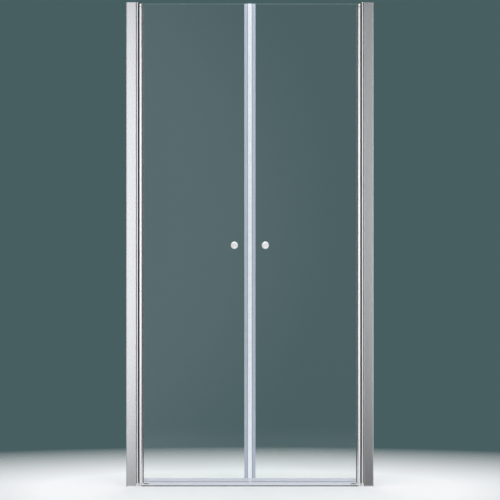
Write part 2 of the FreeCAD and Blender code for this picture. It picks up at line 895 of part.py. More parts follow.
def knob_outer():
    body = new_body("knob_outer_left")
    foot = -(glass_half + size("washer_thickness"))
    radius, face = size("knob_radius"), foot - size("knob_length")
    rim, back_rim = size("knob_rim"), size("knob_back_rim")
    head = foot - size("knob_head_start")
    bore_end = foot - size("knob_bore")
    dish = size("knob_dish")
    outline = [
        (size("stud_radius"), foot),
        (size("stud_radius"), bore_end),
        (ZERO, bore_end),
        (ZERO, face + dish),
        (size("knob_dish_radius") - dish, face + dish),
        (size("knob_dish_radius"), face),
        (radius - rim, face, arc(rim)),
        (radius, face + rim),
        (radius, head - back_rim, arc(back_rim)),
        (radius - back_rim, head),
        (size("knob_waist_radius"), foot - size("knob_waist_end")),
        (size("knob_waist_radius"), foot - size("knob_waist_start")),
        (size("knob_base_radius"), foot - size("knob_base")),
        (size("knob_base_radius"), foot),
    ]
    turn_about_height(body, new_sketch(body, "section", "XY_Plane", [outline], origin=at_knob))


def knob_stud():
    body = new_body("knob_stud_left")
    radius, cut = size("stud_radius"), size("stud_chamfer")
    end = glass_half + size("washer_thickness") + size("knob_bore")
    outline = [
        (ZERO, -end),
        (radius - cut, -end),
        (radius, cut - end),
        (radius, end - cut),
        (radius - cut, end),
        (ZERO, end),
    ]
    turn_about_height(body, new_sketch(body, "section", "XY_Plane", [outline], origin=at_knob))


def knob_washers():
    body = new_body("knob_washers_left", several=True)
    inner, outer = size("stud_radius") + size("stud_gap"), size("washer_radius")
    far = glass_half + size("washer_thickness")
    loops = [box_loop(inner, outer, glass_half, far), box_loop(inner, outer, -far, -glass_half)]
    turn_about_height(body, new_sketch(body, "section", "XY_Plane", loops, origin=at_knob))


def knob_sleeve():
    body = new_body("knob_sleeve_left")
    inner, outer = size("stud_radius") + size("stud_gap"), size("glass_hole_radius") - size("sleeve_gap")
    loop = box_loop(inner, outer, -glass_half, glass_half)
    turn_about_height(body, new_sketch(body, "section", "XY_Plane", [loop], origin=at_knob))


def threshold():
    body = new_body("threshold")
    half, edge = size("threshold_half"), size("threshold_edge")
    rise = size("threshold_height") - edge
    radius = (half * half + rise * rise) / (rise * 2)
    outline = [(-half, ZERO), (half, ZERO), (half, edge, arc(radius)), (-half, edge)]
    start = pivot_x + size("foot_arm_radius") + size("threshold_gap")
    section = new_sketch(body, "section", "YZ_Plane", [outline], origin=(start, ZERO, ZERO))
    pad(body, section, -(start * 2))


def mirror_of(source, label, normal):
    """The mirror image of a piece across a plane through the origin."""
    copy = doc.addObject("Part::Mirroring", label)
    copy.Label = label
    copy.Source = source
    copy.Normal = FreeCAD.Vector(*normal)
    made.append(copy)


LEFT_PIECES = (
    wall_profile,
    wall_profile_cap,
    hinge_post,
    post_caps,
    pivot_pins,
    pivot_bushes,
    pivot_gap_seal,
    locking_screws,
    screw_covers,
    leaf_profile,
    leaf_top_cap,
    leaf_foot,
    glass_rest_pad,
    glazing_gasket,
    glass_panel,
    magnet_seal,
    magnet_strip,
    bottom_seal,
    knob_outer,
    knob_stud,
    knob_washers,
    knob_sleeve,
)
for make in LEFT_PIECES:
    make()
mirror_of(doc.getObject("knob_outer_left"), "knob_inner_left", (0, 1, 0))
doc.recompute()
for piece in list(made):
    mirror_of(piece, piece.Label.replace("_left", "_right"), (1, 0, 0))
threshold()
doc.recompute()

for thing in doc.Objects:
    if {"Invalid", "Error"} & set(thing.State):
        raise RuntimeError(f"{thing.Label} failed: {thing.State}")
for piece in made:
    if piece.Shape.isNull() or not piece.Shape.isValid() or piece.Shape.Volume <= 0:
        raise RuntimeError(f"{piece.Label} has no valid solid")

os.makedirs("parts", exist_ok=True)
for piece in made:
    piece.Shape.exportStep(f"parts/{piece.Label}.step")
print(f"{len(made)} pieces written")
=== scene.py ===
"""Two-leaf pivot shower door: its surfaces, finishes and studio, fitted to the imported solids."""

import json
import math

import bpy
import numpy as np
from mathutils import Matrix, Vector


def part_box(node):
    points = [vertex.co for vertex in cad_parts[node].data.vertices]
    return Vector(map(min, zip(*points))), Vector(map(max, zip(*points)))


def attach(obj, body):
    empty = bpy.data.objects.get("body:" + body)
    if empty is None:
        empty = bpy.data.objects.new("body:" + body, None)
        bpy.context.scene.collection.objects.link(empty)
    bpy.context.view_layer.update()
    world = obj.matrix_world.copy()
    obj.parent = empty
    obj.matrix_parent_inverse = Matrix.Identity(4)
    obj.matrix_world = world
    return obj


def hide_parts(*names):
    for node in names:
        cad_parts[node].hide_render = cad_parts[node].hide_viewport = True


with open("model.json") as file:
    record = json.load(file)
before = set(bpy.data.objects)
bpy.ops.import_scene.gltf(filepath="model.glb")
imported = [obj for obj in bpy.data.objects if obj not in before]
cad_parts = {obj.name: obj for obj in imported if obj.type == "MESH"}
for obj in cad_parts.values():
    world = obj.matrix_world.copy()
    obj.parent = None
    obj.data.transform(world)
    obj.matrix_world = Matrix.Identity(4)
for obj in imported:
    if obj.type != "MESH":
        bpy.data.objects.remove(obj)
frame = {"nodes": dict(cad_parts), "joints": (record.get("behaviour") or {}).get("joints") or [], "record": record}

bl_info = {
    "name": "Pivot shower door",
    "version": (1, 0, 0),
    "blender": (4, 5, 0),
    "location": "View3D > Sidebar > Shower door",
    "description": "Builds the profiles, seals, knobs, finishes and studio of a two-leaf shower door",
    "category": "Add Mesh",
}

MM = 0.001
SIDES = (("left", -1.0), ("right", 1.0))
SHARP_ANGLE = math.radians(28)
LEAST_STEP = 0.001 * MM

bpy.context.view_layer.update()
PIVOT = abs(frame["joints"][0]["pos_m"][0])
NODE_SLOT = {part["node"]: part["material_slot"] for part in frame["record"]["subparts"]}

# Lowest and highest corners of the right-hand pieces, which the left-hand ones mirror
_, CHANNEL_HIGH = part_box("wall_profile_right")
POST_LOW, POST_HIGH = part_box("hinge_post_right")
STRIP_LOW, STRIP_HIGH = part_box("pivot_gap_seal_right")
LEAF_LOW, LEAF_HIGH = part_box("leaf_profile_right")
GASKET_LOW, GASKET_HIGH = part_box("glazing_gasket_right")
GLASS_LOW, GLASS_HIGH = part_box("glass_panel_right")
EDGE_LOW, EDGE_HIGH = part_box("magnet_seal_right")
BOTTOM_LOW, BOTTOM_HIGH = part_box("bottom_seal_right")
FOOT_LOW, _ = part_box("leaf_foot_right")
COVER_LOW, COVER_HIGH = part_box("screw_covers_right")
KNOB_LOW, KNOB_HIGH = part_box("knob_outer_right")
_, CAP_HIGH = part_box("post_top_cap_right")
THRESHOLD_LOW, THRESHOLD_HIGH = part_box("threshold")

GLASS_HALF = GLASS_HIGH.y
KNOB_MIDDLE = (KNOB_LOW + KNOB_HIGH) / 2
FOOT_PLATE = 4.0 * MM
PLATE_TOP = FOOT_LOW.z + FOOT_PLATE

# Noise per metre along x, y and z, for lines along a drawn bar and for even grains
UPWARD = (900.0, 900.0, 2.5)
ACROSS = (2.5, 900.0, 900.0)
CLOUDY = (60.0, 60.0, 60.0)
EVEN = (160.0, 160.0, 160.0)
MATT = (300.0, 300.0, 300.0)
FINE = (600.0, 600.0, 600.0)
MOULDED = (1500.0, 1500.0, 1500.0)
NOISE_SPAN = (0.3, 0.7)
RELIEF_DEPTH = 0.02 * MM
VINYL_ROUGH = (0.20, 0.32)

# Width over which one tone of a finish runs into the next
BLUR = 0.2 * MM


def length(name, description, default):
    """A size in metres that a user may change."""
    return bpy.props.FloatProperty(
        name=name, description=description, default=default, min=0.0, unit="LENGTH", subtype="DISTANCE"
    )


def colour(name, description, default):
    """A colour that a user may change."""
    return bpy.props.FloatVectorProperty(
        name=name, description=description, default=default, min=0.0, max=1.0, size=3, subtype="COLOR"
    )


def amount(name, description, default, high=1.0):
    """A plain number that a user may change."""
    return bpy.props.FloatProperty(
        name=name, description=description, default=default, min=0.0, max=high
    )


class DoorSizes(bpy.types.PropertyGroup):
    """Sizes of the door's sections."""

    crisp: length("Crisp edge", "Rounding of edges that look sharp", 0.1 * MM)
    joined: length("Joined edge", "Rounding of edges that lie against another piece", 0.05 * MM)
    post_round: length("Post rounding", "Rounding of the hinge post's two lips", 1.6 * MM)
    post_edge: length("Post edge", "Rounding of the hinge post's other edges", 0.2 * MM)
    groove_radius: length("Groove radius", "Radius of the groove that the leaf turns in", 9.6 * MM)
    strip_half: length("Gap strip half width", "Half the width of the strip in the groove", 1.0 * MM)
    strip_round: length("Gap strip rounding", "Rounding of the strip's bead", 0.6 * MM)
    flat_end: length("Flat end", "Where the leaf profile's flat sides end, from the pivot", 4.7 * MM)
    flat_round: length("Flat rounding", "Rounding where the flat side turns to the mouth", 3.0 * MM)
    slot_half: length("Slot half width", "Half the width of the leaf profile's glass slot", 4.0 * MM)
    mouth_half: length("Mouth half width", "Half the width of the leaf profile's mouth", 5.2 * MM)
    mouth_round: length("Mouth rounding", "Rounding of the mouth's edges", 0.4 * MM)
    lip_tip: length("Gasket lip tip", "Thickness of the gasket's lip at its tip", 0.5 * MM)
    lip_tip_round: length("Gasket tip rounding", "Rounding of the gasket's lip at its tip", 0.3 * MM)
    lip_root_round: length("Gasket root rounding", "Rounding of the gasket's lip at its root", 0.5 * MM)
    clip_wall: length("Clip wall", "Wall of the clips that grip the glass", 1.2 * MM)
    clip_tip: length("Clip tip", "Rounding of the clips' free edges", 0.9 * MM)
    clip_corner: length("Clip corner", "Rounding of the bottom clip's corners", 0.4 * MM)
    bulb_start: length("Bulb start", "Where the magnet bulb begins, from the middle", 7.2 * MM)
    bulb_round: length("Bulb rounding", "Rounding of the magnet bulb", 1.5 * MM)
    bulb_wall: length("Bulb wall", "Wall of the magnet bulb", 1.0 * MM)
    skirt_tip: length("Skirt tip", "Thickness of the water skirt at its tip", 0.5 * MM)
    skirt_bow: length("Skirt bow", "How far the water skirt is drawn outwards", 0.5 * MM)
    skirt_gap: length("Skirt gap", "Gap between the short skirt and the foot below it", 0.6 * MM)
    skirt_end: length("Skirt end", "Gap between the water skirt's end and the foot", 1.0 * MM)
    deflector_tip: length("Deflector tip", "Thickness of the deflector at its tip", 0.7 * MM)
    deflector_bow: length("Deflector bow", "How far the deflector is drawn outwards", 1.2 * MM)
    deflector_inset: length("Deflector inset", "From the seal's back to the deflector's tip", 0.5 * MM)
    deflector_low: length("Deflector low", "Height of the deflector's tip", 7.1 * MM)
    knob_base: length("Knob base", "Radius of the knob where it meets the washer", 9.0 * MM)
    knob_flare: length("Knob flare", "Height of the knob's base", 1.8 * MM)
    knob_waist: length("Knob waist", "Radius of the knob's waist", 7.2 * MM)
    waist_low: length("Waist start", "Where the knob's waist begins", 4.8 * MM)
    waist_high: length("Waist end", "Where the knob's waist ends", 8.6 * MM)
    knob_head: length("Knob head", "Where the knob's full width begins", 13.4 * MM)
    knob_rim: length("Knob rim", "Rounding of the knob's rim", 4.0 * MM)
    knob_neck: length("Knob neck", "Rounding of the knob's neck under the head", 3.0 * MM)
    knob_dish: length("Knob dish", "Radius of the shallow dish in the knob's face", 9.0 * MM)
    dish_depth: length("Dish depth", "Depth of the shallow dish in the knob's face", 0.4 * MM)
    cover_round: length("Cover rounding", "Rounding of the screw covers", 1.4 * MM)
    cover_crown: length("Cover crown", "Rise of the screw covers towards their middle", 0.3 * MM)
    threshold_edge: length("Threshold edge", "Height of the threshold's upright edges", 1.2 * MM)


class DoorColours(bpy.types.PropertyGroup):
    """Colours of the door's finishes."""

    aluminium: colour("Polished aluminium", "Wall channels and their caps", (0.86, 0.865, 0.87))
    satin: colour("Satin aluminium", "Leaf profiles", (0.83, 0.832, 0.836))
    lip: colour("Post lips", "Satin lips of the hinge posts", (0.96, 0.962, 0.966))
    # Painted shade: this dark tone laid on the round backs stands for the shade of the groove they turn in.
    back: colour("Round back", "Round backs of the leaf profiles", (0.06, 0.06, 0.06))
    knob: colour("Satin chrome", "Knobs, post caps and feet", (0.90, 0.902, 0.906))
    threshold: colour("Threshold", "Threshold strip", (0.30, 0.304, 0.31))
    steel: colour("Steel", "Screws, pins and studs", (0.60, 0.60, 0.61))
    cap: colour("Cap plastic", "Screw covers", (0.74, 0.75, 0.76))
    white: colour("White plastic", "Bushes, rest pads and washers", (0.84, 0.84, 0.83))
    washer_cover: amount("Washer cover", "How much the clear washers hide", 0.5)
    glass: colour("Glass", "Tint of the panes seen edge on", (0.55, 0.86, 0.80))
    glass_haze: colour("Glass haze", "Faint tint that drifts over the panes", (0.985, 0.995, 0.992))
    glass_edge: colour("Glass edge", "Ground upper edge of the panes", (0.62, 0.86, 0.82))
    vinyl: colour("Vinyl", "Clear seals", (0.71, 0.78, 0.89))
    vinyl_cover: amount("Vinyl cover", "How much the clear seals hide", 0.45)
    # Painted light: a lighter copy of the clear vinyl for the seals under the panes, as if lit by the pale floor
    # behind them.
    bottom: colour("Bottom vinyl", "Clear seals under the panes", (0.88, 0.90, 0.98))
    foot_cover: amount("Foot vinyl cover", "How much the seals above the feet hide", 0.6)
    smoke: colour("Smoke vinyl", "Gaskets along the leaf profiles", (0.17, 0.19, 0.19))
    smoke_cover: amount("Smoke cover", "How much the gaskets hide", 0.38)
    bulb: colour("Magnet bulb", "White bulb of the magnet seals", (0.90, 0.94, 1.0))
    magnet: colour("Magnet", "Magnet strips", (0.035, 0.032, 0.030))
    # Real dark rubber for the gap strips, and also painted shade laid in the posts' grooves, over the caps' pivot
    # arms and along the seals' lips above the feet.
    rubber: colour("Dark rubber", "Strips in the pivot grooves", (0.020, 0.019, 0.018))
    seam: colour("Seam", "Shaded seams of the posts and caps", (0.03, 0.03, 0.03))


class DoorStudio(bpy.types.PropertyGroup):
    """The camera, lights and surroundings."""

    distance: length("Camera distance", "From the camera to the door", 5.6)
    aside: length("Camera aside", "From the door's middle to the camera, to the right", 0.4 * MM)
    height: length("Camera height", "Height of the camera", 0.953)
    view_width: length("View width", "Width of the picture at the door", 2.017)
    floor: colour("Floor", "Pale floor", (0.90, 0.91, 0.91))
    floor_radius: length("Floor radius", "Reach of the floor to either side", 2.4)
    floor_behind: length("Floor behind", "Reach of the floor behind the door", 1.15)
    floor_before: length("Floor before", "Reach of the floor in front of the door", 2.0)
    backdrop: colour("Backdrop", "Behind the door", (0.065, 0.115, 0.122))
    front: colour("Front", "Behind the camera", (0.25, 0.255, 0.265))
    sky: colour("Above", "Above the door and in the soft panels beside the camera", (0.90, 0.91, 0.93))
    below: colour("Below", "Low in front of the door", (0.13, 0.13, 0.135))
    flag: colour("Flags", "Dark cloths at the sides that outline the metal", (0.14, 0.145, 0.15))
    key: amount("Key light", "Power of the left soft light in watts", 31.0, 500.0)
    fill: amount("Fill light", "Power of the right soft light in watts", 33.0, 500.0)
    rear: amount("Rear light", "Power of the soft light behind the door in watts", 24.0, 500.0)
    top: amount("Top light", "Power of the overhead soft light in watts", 38.0, 500.0)


def rounded_outline(corners, rounds, steps=8):
    """Closed outline whose corners are arcs that touch both sides.

    With unit vectors a and b from a corner to its neighbours and h half the angle between them, the
    arc of radius r has its centre r / sin(h) along a + b, runs from r / tan(h) along a to r / tan(h)
    along b, and turns by pi - 2 h in even steps.
    """
    corners = np.asarray(corners, float)
    rounds = np.broadcast_to(np.asarray(rounds, float), len(corners))[:, None]
    before = np.roll(corners, 1, axis=0) - corners
    after = np.roll(corners, -1, axis=0) - corners
    before /= np.linalg.norm(before, axis=1, keepdims=True)
    after /= np.linalg.norm(after, axis=1, keepdims=True)
    half = np.arccos(np.clip((before * after).sum(axis=1, keepdims=True), -1.0, 1.0)) / 2
    inward = (before + after) / np.linalg.norm(before + after, axis=1, keepdims=True)
    centre = corners + inward * rounds / np.sin(half)
    start = corners + before * rounds / np.tan(half) - centre
    end = corners + after * rounds / np.tan(half) - centre
    share = np.linspace(0.0, 1.0, steps + 1)[None, :, None]
    turn = (math.pi - 2 * half)[:, None]
    arcs = np.sin((1 - share) * turn) * start[:, None] + np.sin(share * turn) * end[:, None]
    points = (centre[:, None] + arcs / np.sin(turn)).reshape(-1, 2)
    step = np.linalg.norm(points - np.roll(points, 1, axis=0), axis=1)
    return points[step > LEAST_STEP]


def rectangle(start, end, half):
    """Corners of a bar's section from start to end, with half its depth to either side."""
    return [(start, -half), (end, -half), (end, half), (start, half)]


def mirrored_outline(upper, upper_rounds, steps):
    """Outline of a section's upper half and the same corners in reverse on the lower side."""
    lower = [(reach, -depth) for reach, depth in reversed(upper)]
    return rounded_outline([*upper, *lower], [*upper_rounds, *reversed(upper_rounds)], steps)


def ribbon_outline(path, root, tip):
    """Closed outline of a strip that tapers evenly from root to tip.

    Each point of the path is moved half the thickness there to either side.
    """
    along = np.gradient(path, axis=0)
    along /= np.linalg.norm(along, axis=1, keepdims=True)
    thickness = np.linspace(root, tip, len(path))
    offset = np.column_stack([-along[:, 1], along[:, 0]]) * thickness[:, None] / 2
    return np.concatenate([path + offset, (path - offset)[::-1]])


def bent_path(start, bend, end, steps=14):
    """Quadratic curve from start to end drawn towards the bend: (1-t)^2 A + 2t(1-t) B + t^2 C."""
    t = np.linspace(0.0, 1.0, steps)[:, None]
    return (1 - t) ** 2 * np.array(start) + 2 * t * (1 - t) * np.array(bend) + t**2 * np.array(end)


def from_pivot(sign, outline):
    """Turns an outline of (reach from the pivot axis, depth) into one side's x and y."""
    return np.column_stack([sign * (PIVOT - outline[:, 0]), outline[:, 1]])


def from_middle(sign, outline):
    """Turns an outline of (distance from the door's middle, depth) into one side's x and y."""
    return np.column_stack([sign * outline[:, 0], outline[:, 1]])


def signed_volume(vertices, faces):
    """Six times the volume that the faces' fans span with the origin, positive if they face out."""
    first, middle, last = vertices[faces[:, :1]], vertices[faces[:, 1:-1]], vertices[faces[:, 2:]]
    return float((first * np.cross(middle, last)).sum())


def mesh_object(name, vertices, face_sets):
    """Puts points and faces into a mesh, with every face turned over if the volume is negative."""
    outward = sum(signed_volume(vertices, faces) for faces in face_sets) > 0
    faces = [face for each in face_sets for face in (each if outward else each[:, ::-1]).tolist()]
    mesh = bpy.data.meshes.new(name)
    mesh.from_pydata(vertices.tolist(), [], faces)
    mesh.shade_smooth()
    mesh.set_sharp_from_angle(angle=SHARP_ANGLE)
    piece = bpy.data.objects.new(name, mesh)
    bpy.context.scene.collection.objects.link(piece)
    return piece


def rows_between(grid):
    """The four-sided faces between the rows of a grid of point numbers that closes on itself."""
    following = np.roll(grid, -1, axis=1)
    return np.stack([grid[:-1], following[:-1], following[1:], grid[1:]], axis=-1).reshape(-1, 4)


def swept(name, outline, start, end, axes):
    """Outline carried in a straight line: its columns fill the first two axes, the line the third."""
    vertices = np.empty((2, len(outline), 3))
    vertices[..., axes[:2]] = outline
    vertices[..., axes[2]] = np.array([start, end])[:, None]
    grid = np.arange(2 * len(outline)).reshape(2, -1)
    return mesh_object(name, vertices.reshape(-1, 3), [rows_between(grid), grid[:1, ::-1], grid[1:]])


def swept_up(name, outline, low, high):
    """Outline of x and y carried upwards."""
    return swept(name, outline, low, high, [0, 1, 2])


def swept_across(name, outline, start, end):
    """Outline of y and z carried along x."""
    return swept(name, outline, min(start, end), max(start, end), [1, 2, 0])


def tube_up(name, outer, inner, low, high):
    """Outer outline carried up, joined over the top to the inner one, which goes down to the foot."""
    count = len(outer)
    vertices = np.empty((4, count, 3))
    vertices[:, :, :2] = np.stack([outer, outer, inner, inner])
    vertices[:, :, 2] = np.array([low, high, high, low])[:, None]
    grid = np.arange(4 * count).reshape(4, count)
    closed = np.concatenate([grid, grid[:1]])
    return mesh_object(name, vertices.reshape(-1, 3), [rows_between(closed)])


def turned(name, profile, centre, facing, steps=96):
    """Profile of (radius r, distance d) turned about a line along y.

    A point turned by t lies at centre + (r cos t, facing d, r sin t). The profile begins and ends on
    the line, where one point closes the pole.
    """
    turn = np.linspace(0.0, 2 * math.pi, steps, endpoint=False)
    radius, distance = profile[1:-1, :1], profile[1:-1, 1:]
    shell = np.stack(
        [radius * np.cos(turn), facing * distance + 0 * turn, radius * np.sin(turn)], axis=-1
    ).reshape(-1, 3)
    poles = np.outer(profile[[0, -1], 1], [0.0, facing, 0.0])
    vertices = np.concatenate([shell, poles]) + np.asarray(centre)
    grid = np.arange(len(shell)).reshape(-1, steps)
    first = np.full(steps, len(shell))
    near = np.stack([first, np.roll(grid[0], -1), grid[0]], axis=-1)
    far = np.stack([first + 1, grid[-1], np.roll(grid[-1], -1)], axis=-1)
    return mesh_object(name, vertices, [rows_between(grid), near, far])


def new_finish(name):
    """A material with its node tree and surface shader."""
    material = bpy.data.materials.new(f"{name}_finish")
    material.use_nodes = True
    return material, material.node_tree, shader_of(material)


def shader_of(material):
    """A finish's surface shader."""
    return material.node_tree.nodes["Principled BSDF"]


def darker(tone, share):
    """A colour with a share of its brightness."""
    return tuple(share * part for part in tone)


def number(tree, operation, *inputs):
    """One step of arithmetic on numbers from nodes or plain numbers."""
    step = tree.nodes.new("ShaderNodeMath")
    step.operation = operation
    for socket, value in zip(step.inputs, inputs):
        if isinstance(value, float):
            socket.default_value = value
        else:
            tree.links.new(value, socket)
    return step.outputs["Value"]


def rising(tree, value, start, end, slope="LINEAR"):
    """0 where the value is before the start and 1 where it is past the end."""
    span = tree.nodes.new("ShaderNodeMapRange")
    span.interpolation_type = slope
    span.inputs["From Min"].default_value = start
    span.inputs["From Max"].default_value = end
    tree.links.new(value, span.inputs["Value"])
    return span.outputs["Result"]


def falling(tree, value, start, end):
    """1 where the value is before the start and 0 where it is past the end."""
    return rising(tree, value, end, start)


def place_of(tree):
    """A point's own x, y and z."""
    place = tree.nodes.new("ShaderNodeTexCoord")
    parts = tree.nodes.new("ShaderNodeSeparateXYZ")
    tree.links.new(place.outputs["Object"], parts.inputs["Vector"])
    return parts.outputs["X"], parts.outputs["Y"], parts.outputs["Z"]


def far_off(tree, first, second):
    """Length of the slanting side over two square ones."""
    squares = number(tree, "MULTIPLY", first, first), number(tree, "MULTIPLY", second, second)
    return number(tree, "SQRT", number(tree, "ADD", *squares))


def apart_from(tree, value, middle):
    """How far a value lies from a middle, on either side."""
    return number(tree, "ABSOLUTE", number(tree, "SUBTRACT", value, middle))


def reach_and_radius(tree):
    """How far a point lies from the pivot axis: towards the door's middle, and all in all."""
    across, depth, _ = place_of(tree)
    reach = number(tree, "SUBTRACT", PIVOT, number(tree, "ABSOLUTE", across))
    return reach, far_off(tree, reach, depth)


def grain(tree, stretch, detail, low=0.0, high=1.0):
    """Noise on object coordinates, drawn out by the stretch, as a number from low to high."""
    place = tree.nodes.new("ShaderNodeTexCoord")
    mapping = tree.nodes.new("ShaderNodeMapping")
    noise = tree.nodes.new("ShaderNodeTexNoise")
    span = tree.nodes.new("ShaderNodeMapRange")
    mapping.inputs["Scale"].default_value = stretch
    noise.inputs["Scale"].default_value = 1.0
    noise.inputs["Detail"].default_value = detail
    span.inputs["From Min"].default_value, span.inputs["From Max"].default_value = NOISE_SPAN
    span.inputs["To Min"].default_value = low
    span.inputs["To Max"].default_value = high
    tree.links.new(place.outputs["Object"], mapping.inputs["Vector"])
    tree.links.new(mapping.outputs["Vector"], noise.inputs["Vector"])
    tree.links.new(noise.outputs["Fac"], span.inputs["Value"])
    return span.outputs["Result"]


def blended(tree, factor, first, second):
    """A colour between two, by a number from a node."""
    mix = tree.nodes.new("ShaderNodeMix")
    mix.data_type = "RGBA"
    mix.inputs["A"].default_value = (*first, 1.0)
    mix.inputs["B"].default_value = (*second, 1.0)
    tree.links.new(factor, mix.inputs["Factor"])
    return mix.outputs["Result"]


def laid_over(tree, factor, below, tone):
    """A colour laid over another by a number from a node."""
    mix = tree.nodes.new("ShaderNodeMix")
    mix.data_type = "RGBA"
    mix.inputs["B"].default_value = (*tone, 1.0)
    tree.links.new(factor, mix.inputs["Factor"])
    tree.links.new(below, mix.inputs["A"])
    return mix.outputs["Result"]


def relief(tree, surface, height, strength):
    """Bends the surface's normals by a height."""
    bump = tree.nodes.new("ShaderNodeBump")
    bump.inputs["Strength"].default_value = strength
    bump.inputs["Distance"].default_value = RELIEF_DEPTH
    tree.links.new(height, bump.inputs["Height"])
    tree.links.new(bump.outputs["Normal"], surface.inputs["Normal"])


def painted(material, mask, tone):
    """Lays a tone over a finish's own colour where the mask is 1."""
    tree, socket = material.node_tree, shader_of(material).inputs["Base Color"]
    tree.links.new(laid_over(tree, mask, socket.links[0].from_socket, tone), socket)


def painted_below(material, top, tone, blur=2 * BLUR):
    """Lays a tone over a finish's own colour below a height."""
    tree = material.node_tree
    _, _, height = place_of(tree)
    painted(material, falling(tree, height, top, top + blur), tone)


def regraded(material, mask, rough):
    """Gives a finish another roughness where the mask is 1."""
    tree, socket = material.node_tree, shader_of(material).inputs["Roughness"]
    grade = tree.nodes.new("ShaderNodeMix")
    grade.inputs["B"].default_value = rough
    tree.links.new(mask, grade.inputs["Factor"])
    tree.links.new(socket.links[0].from_socket, grade.inputs["A"])
    tree.links.new(grade.outputs["Result"], socket)


def metal(name, tone, stretch, rough, lines):
    """Metal whose tone, gloss and relief follow fine lines along the way it was drawn or turned."""
    material, tree, surface = new_finish(name)
    surface.inputs["Metallic"].default_value = 1.0
    streaks = grain(tree, stretch, detail=4.0)
    tree.links.new(blended(tree, streaks, darker(tone, share=0.97), tone), surface.inputs["Base Color"])
    tree.links.new(grain(tree, stretch, 2.0, *rough), surface.inputs["Roughness"])
    relief(tree, surface, streaks, strength=lines)
    return material


def plastic(name, tone, rough):
    """Moulded plastic with a faint cloudiness and the fine texture of its mould."""
    material, tree, surface = new_finish(name)
    cloud = grain(tree, CLOUDY, detail=2.0)
    tree.links.new(blended(tree, cloud, darker(tone, share=0.94), tone), surface.inputs["Base Color"])
    tree.links.new(grain(tree, MATT, 2.0, *rough), surface.inputs["Roughness"])
    relief(tree, surface, grain(tree, MOULDED, detail=1.0), strength=0.08)
    return material


def see_through(name, tone, rough, cover):
    """Plastic that hides only a share of what lies behind it."""
    material = plastic(name, tone, rough)
    shader_of(material).inputs["Alpha"].default_value = cover
    return material


def channel_seam(tree, reach):
    """1 where the post runs into the channel."""
    seam = -13.4 * MM
    return falling(tree, reach, seam - BLUR, seam + BLUR)


def cap_seam(tree):
    """1 in the shaded slit between a profile's top and the cap above it."""
    _, _, height = place_of(tree)
    low, high = LEAF_HIGH.z, LEAF_HIGH.z + 1.2 * MM
    above = rising(tree, height, low - BLUR, low)
    return number(tree, "MULTIPLY", above, falling(tree, height, high, high + BLUR))


def polished_aluminium(colours):
    """Polished, with the bevel along the outer edge painted darker as shade."""
    material = metal("polished_aluminium", colours.aluminium, UPWARD, rough=(0.145, 0.165), lines=0.015)
    tree = material.node_tree
    across, depth, _ = place_of(tree)
    start, slope = CHANNEL_HIGH.x - 3.0 * MM, CHANNEL_HIGH.y - 0.8 * MM
    outer = rising(tree, number(tree, "ABSOLUTE", across), start - BLUR, start + BLUR)
    facing = rising(tree, number(tree, "ABSOLUTE", depth), slope - BLUR, slope)
    # Painted shade: the front bevel is laid over with half the aluminium's tone.
    painted(material, number(tree, "MULTIPLY", outer, facing), darker(colours.aluminium, share=0.5))
    return material


def threshold_aluminium(colours):
    """Grey anodised, with a painted highlight along the foot of the strip."""
    material = metal("threshold_aluminium", colours.threshold, ACROSS, rough=(0.20, 0.28), lines=0.12)
    bright = 1.4 * MM
    # Painted highlight: the lowest part of the strip takes the bright aluminium tone.
    painted_below(material, bright, colours.aluminium)
    return material


def leaf_aluminium(colours):
    """Satin on the flat sides, polished on the round back and on the slope to the mouth, with painted shade on the
    round back.
    """
    material = metal("leaf_aluminium", colours.satin, UPWARD, rough=(0.40, 0.47), lines=0.03)
    tree = material.node_tree
    reach, _ = reach_and_radius(tree)
    back_end, flat_middle, flat_half = -3.2 * MM, 0.4 * MM, 2.6 * MM
    # Painted shade: the round back is laid over with the dark back tone, standing for the groove's shade.
    painted(material, falling(tree, reach, back_end, back_end + 4 * BLUR), colours.back)
    apart = apart_from(tree, reach, flat_middle)
    regraded(material, rising(tree, apart, flat_half, flat_half + 4 * BLUR), rough=0.18)
    # Painted shade in the slit under the top cap.
    painted(material, cap_seam(tree), colours.seam)
    return material


def post_aluminium(colours):
    """Satin on the lip, with painted shade beside the channel and in the groove that the leaf turns in."""
    material = metal("post_aluminium", colours.lip, UPWARD, rough=(0.36, 0.43), lines=0.03)
    tree = material.node_tree
    reach, radius = reach_and_radius(tree)
    groove = 9.7 * MM
    painted(material, channel_seam(tree, reach), colours.seam)
    # Painted shade in the groove that the leaf turns in, laid in the dark rubber tone.
    painted(material, falling(tree, radius, groove, groove + BLUR), colours.rubber)
    return material


def satin_chrome(colours, name="satin_chrome"):
    """Chrome with a soft gloss."""
    return metal(name, colours.knob, EVEN, rough=(0.28, 0.34), lines=0.02)


def knob_chrome(colours):
    """Satin chrome, softer on the rim and neck than on the dished face."""
    material = satin_chrome(colours, "knob_chrome")
    tree = material.node_tree
    across, _, height = place_of(tree)
    sideways = number(tree, "SUBTRACT", number(tree, "ABSOLUTE", across), KNOB_MIDDLE.x)
    upward = number(tree, "SUBTRACT", height, KNOB_MIDDLE.z)
    face_end, rim_start = 9.0 * MM, 11.0 * MM
    regraded(material, rising(tree, far_off(tree, sideways, upward), face_end, rim_start), rough=0.55)
    return material


def cap_chrome(colours):
    """Satin chrome with painted shade on the pivot arm over the groove, beside the channel below its top face, and
    in the slit under it.
    """
    material = satin_chrome(colours, "cap_chrome")
    tree = material.node_tree
    reach, radius = reach_and_radius(tree)
    _, _, height = place_of(tree)
    arm = 9.6 * MM
    under = falling(tree, height, CAP_HIGH.z - 2 * BLUR, CAP_HIGH.z - BLUR)
    painted(material, number(tree, "MULTIPLY", channel_seam(tree, reach), under), colours.seam)
    # Painted shade over the pivot arm where it lies within the groove.
    painted(material, falling(tree, radius, arm, arm + 2 * BLUR), colours.rubber)
    painted(material, cap_seam(tree), colours.seam)
    return material


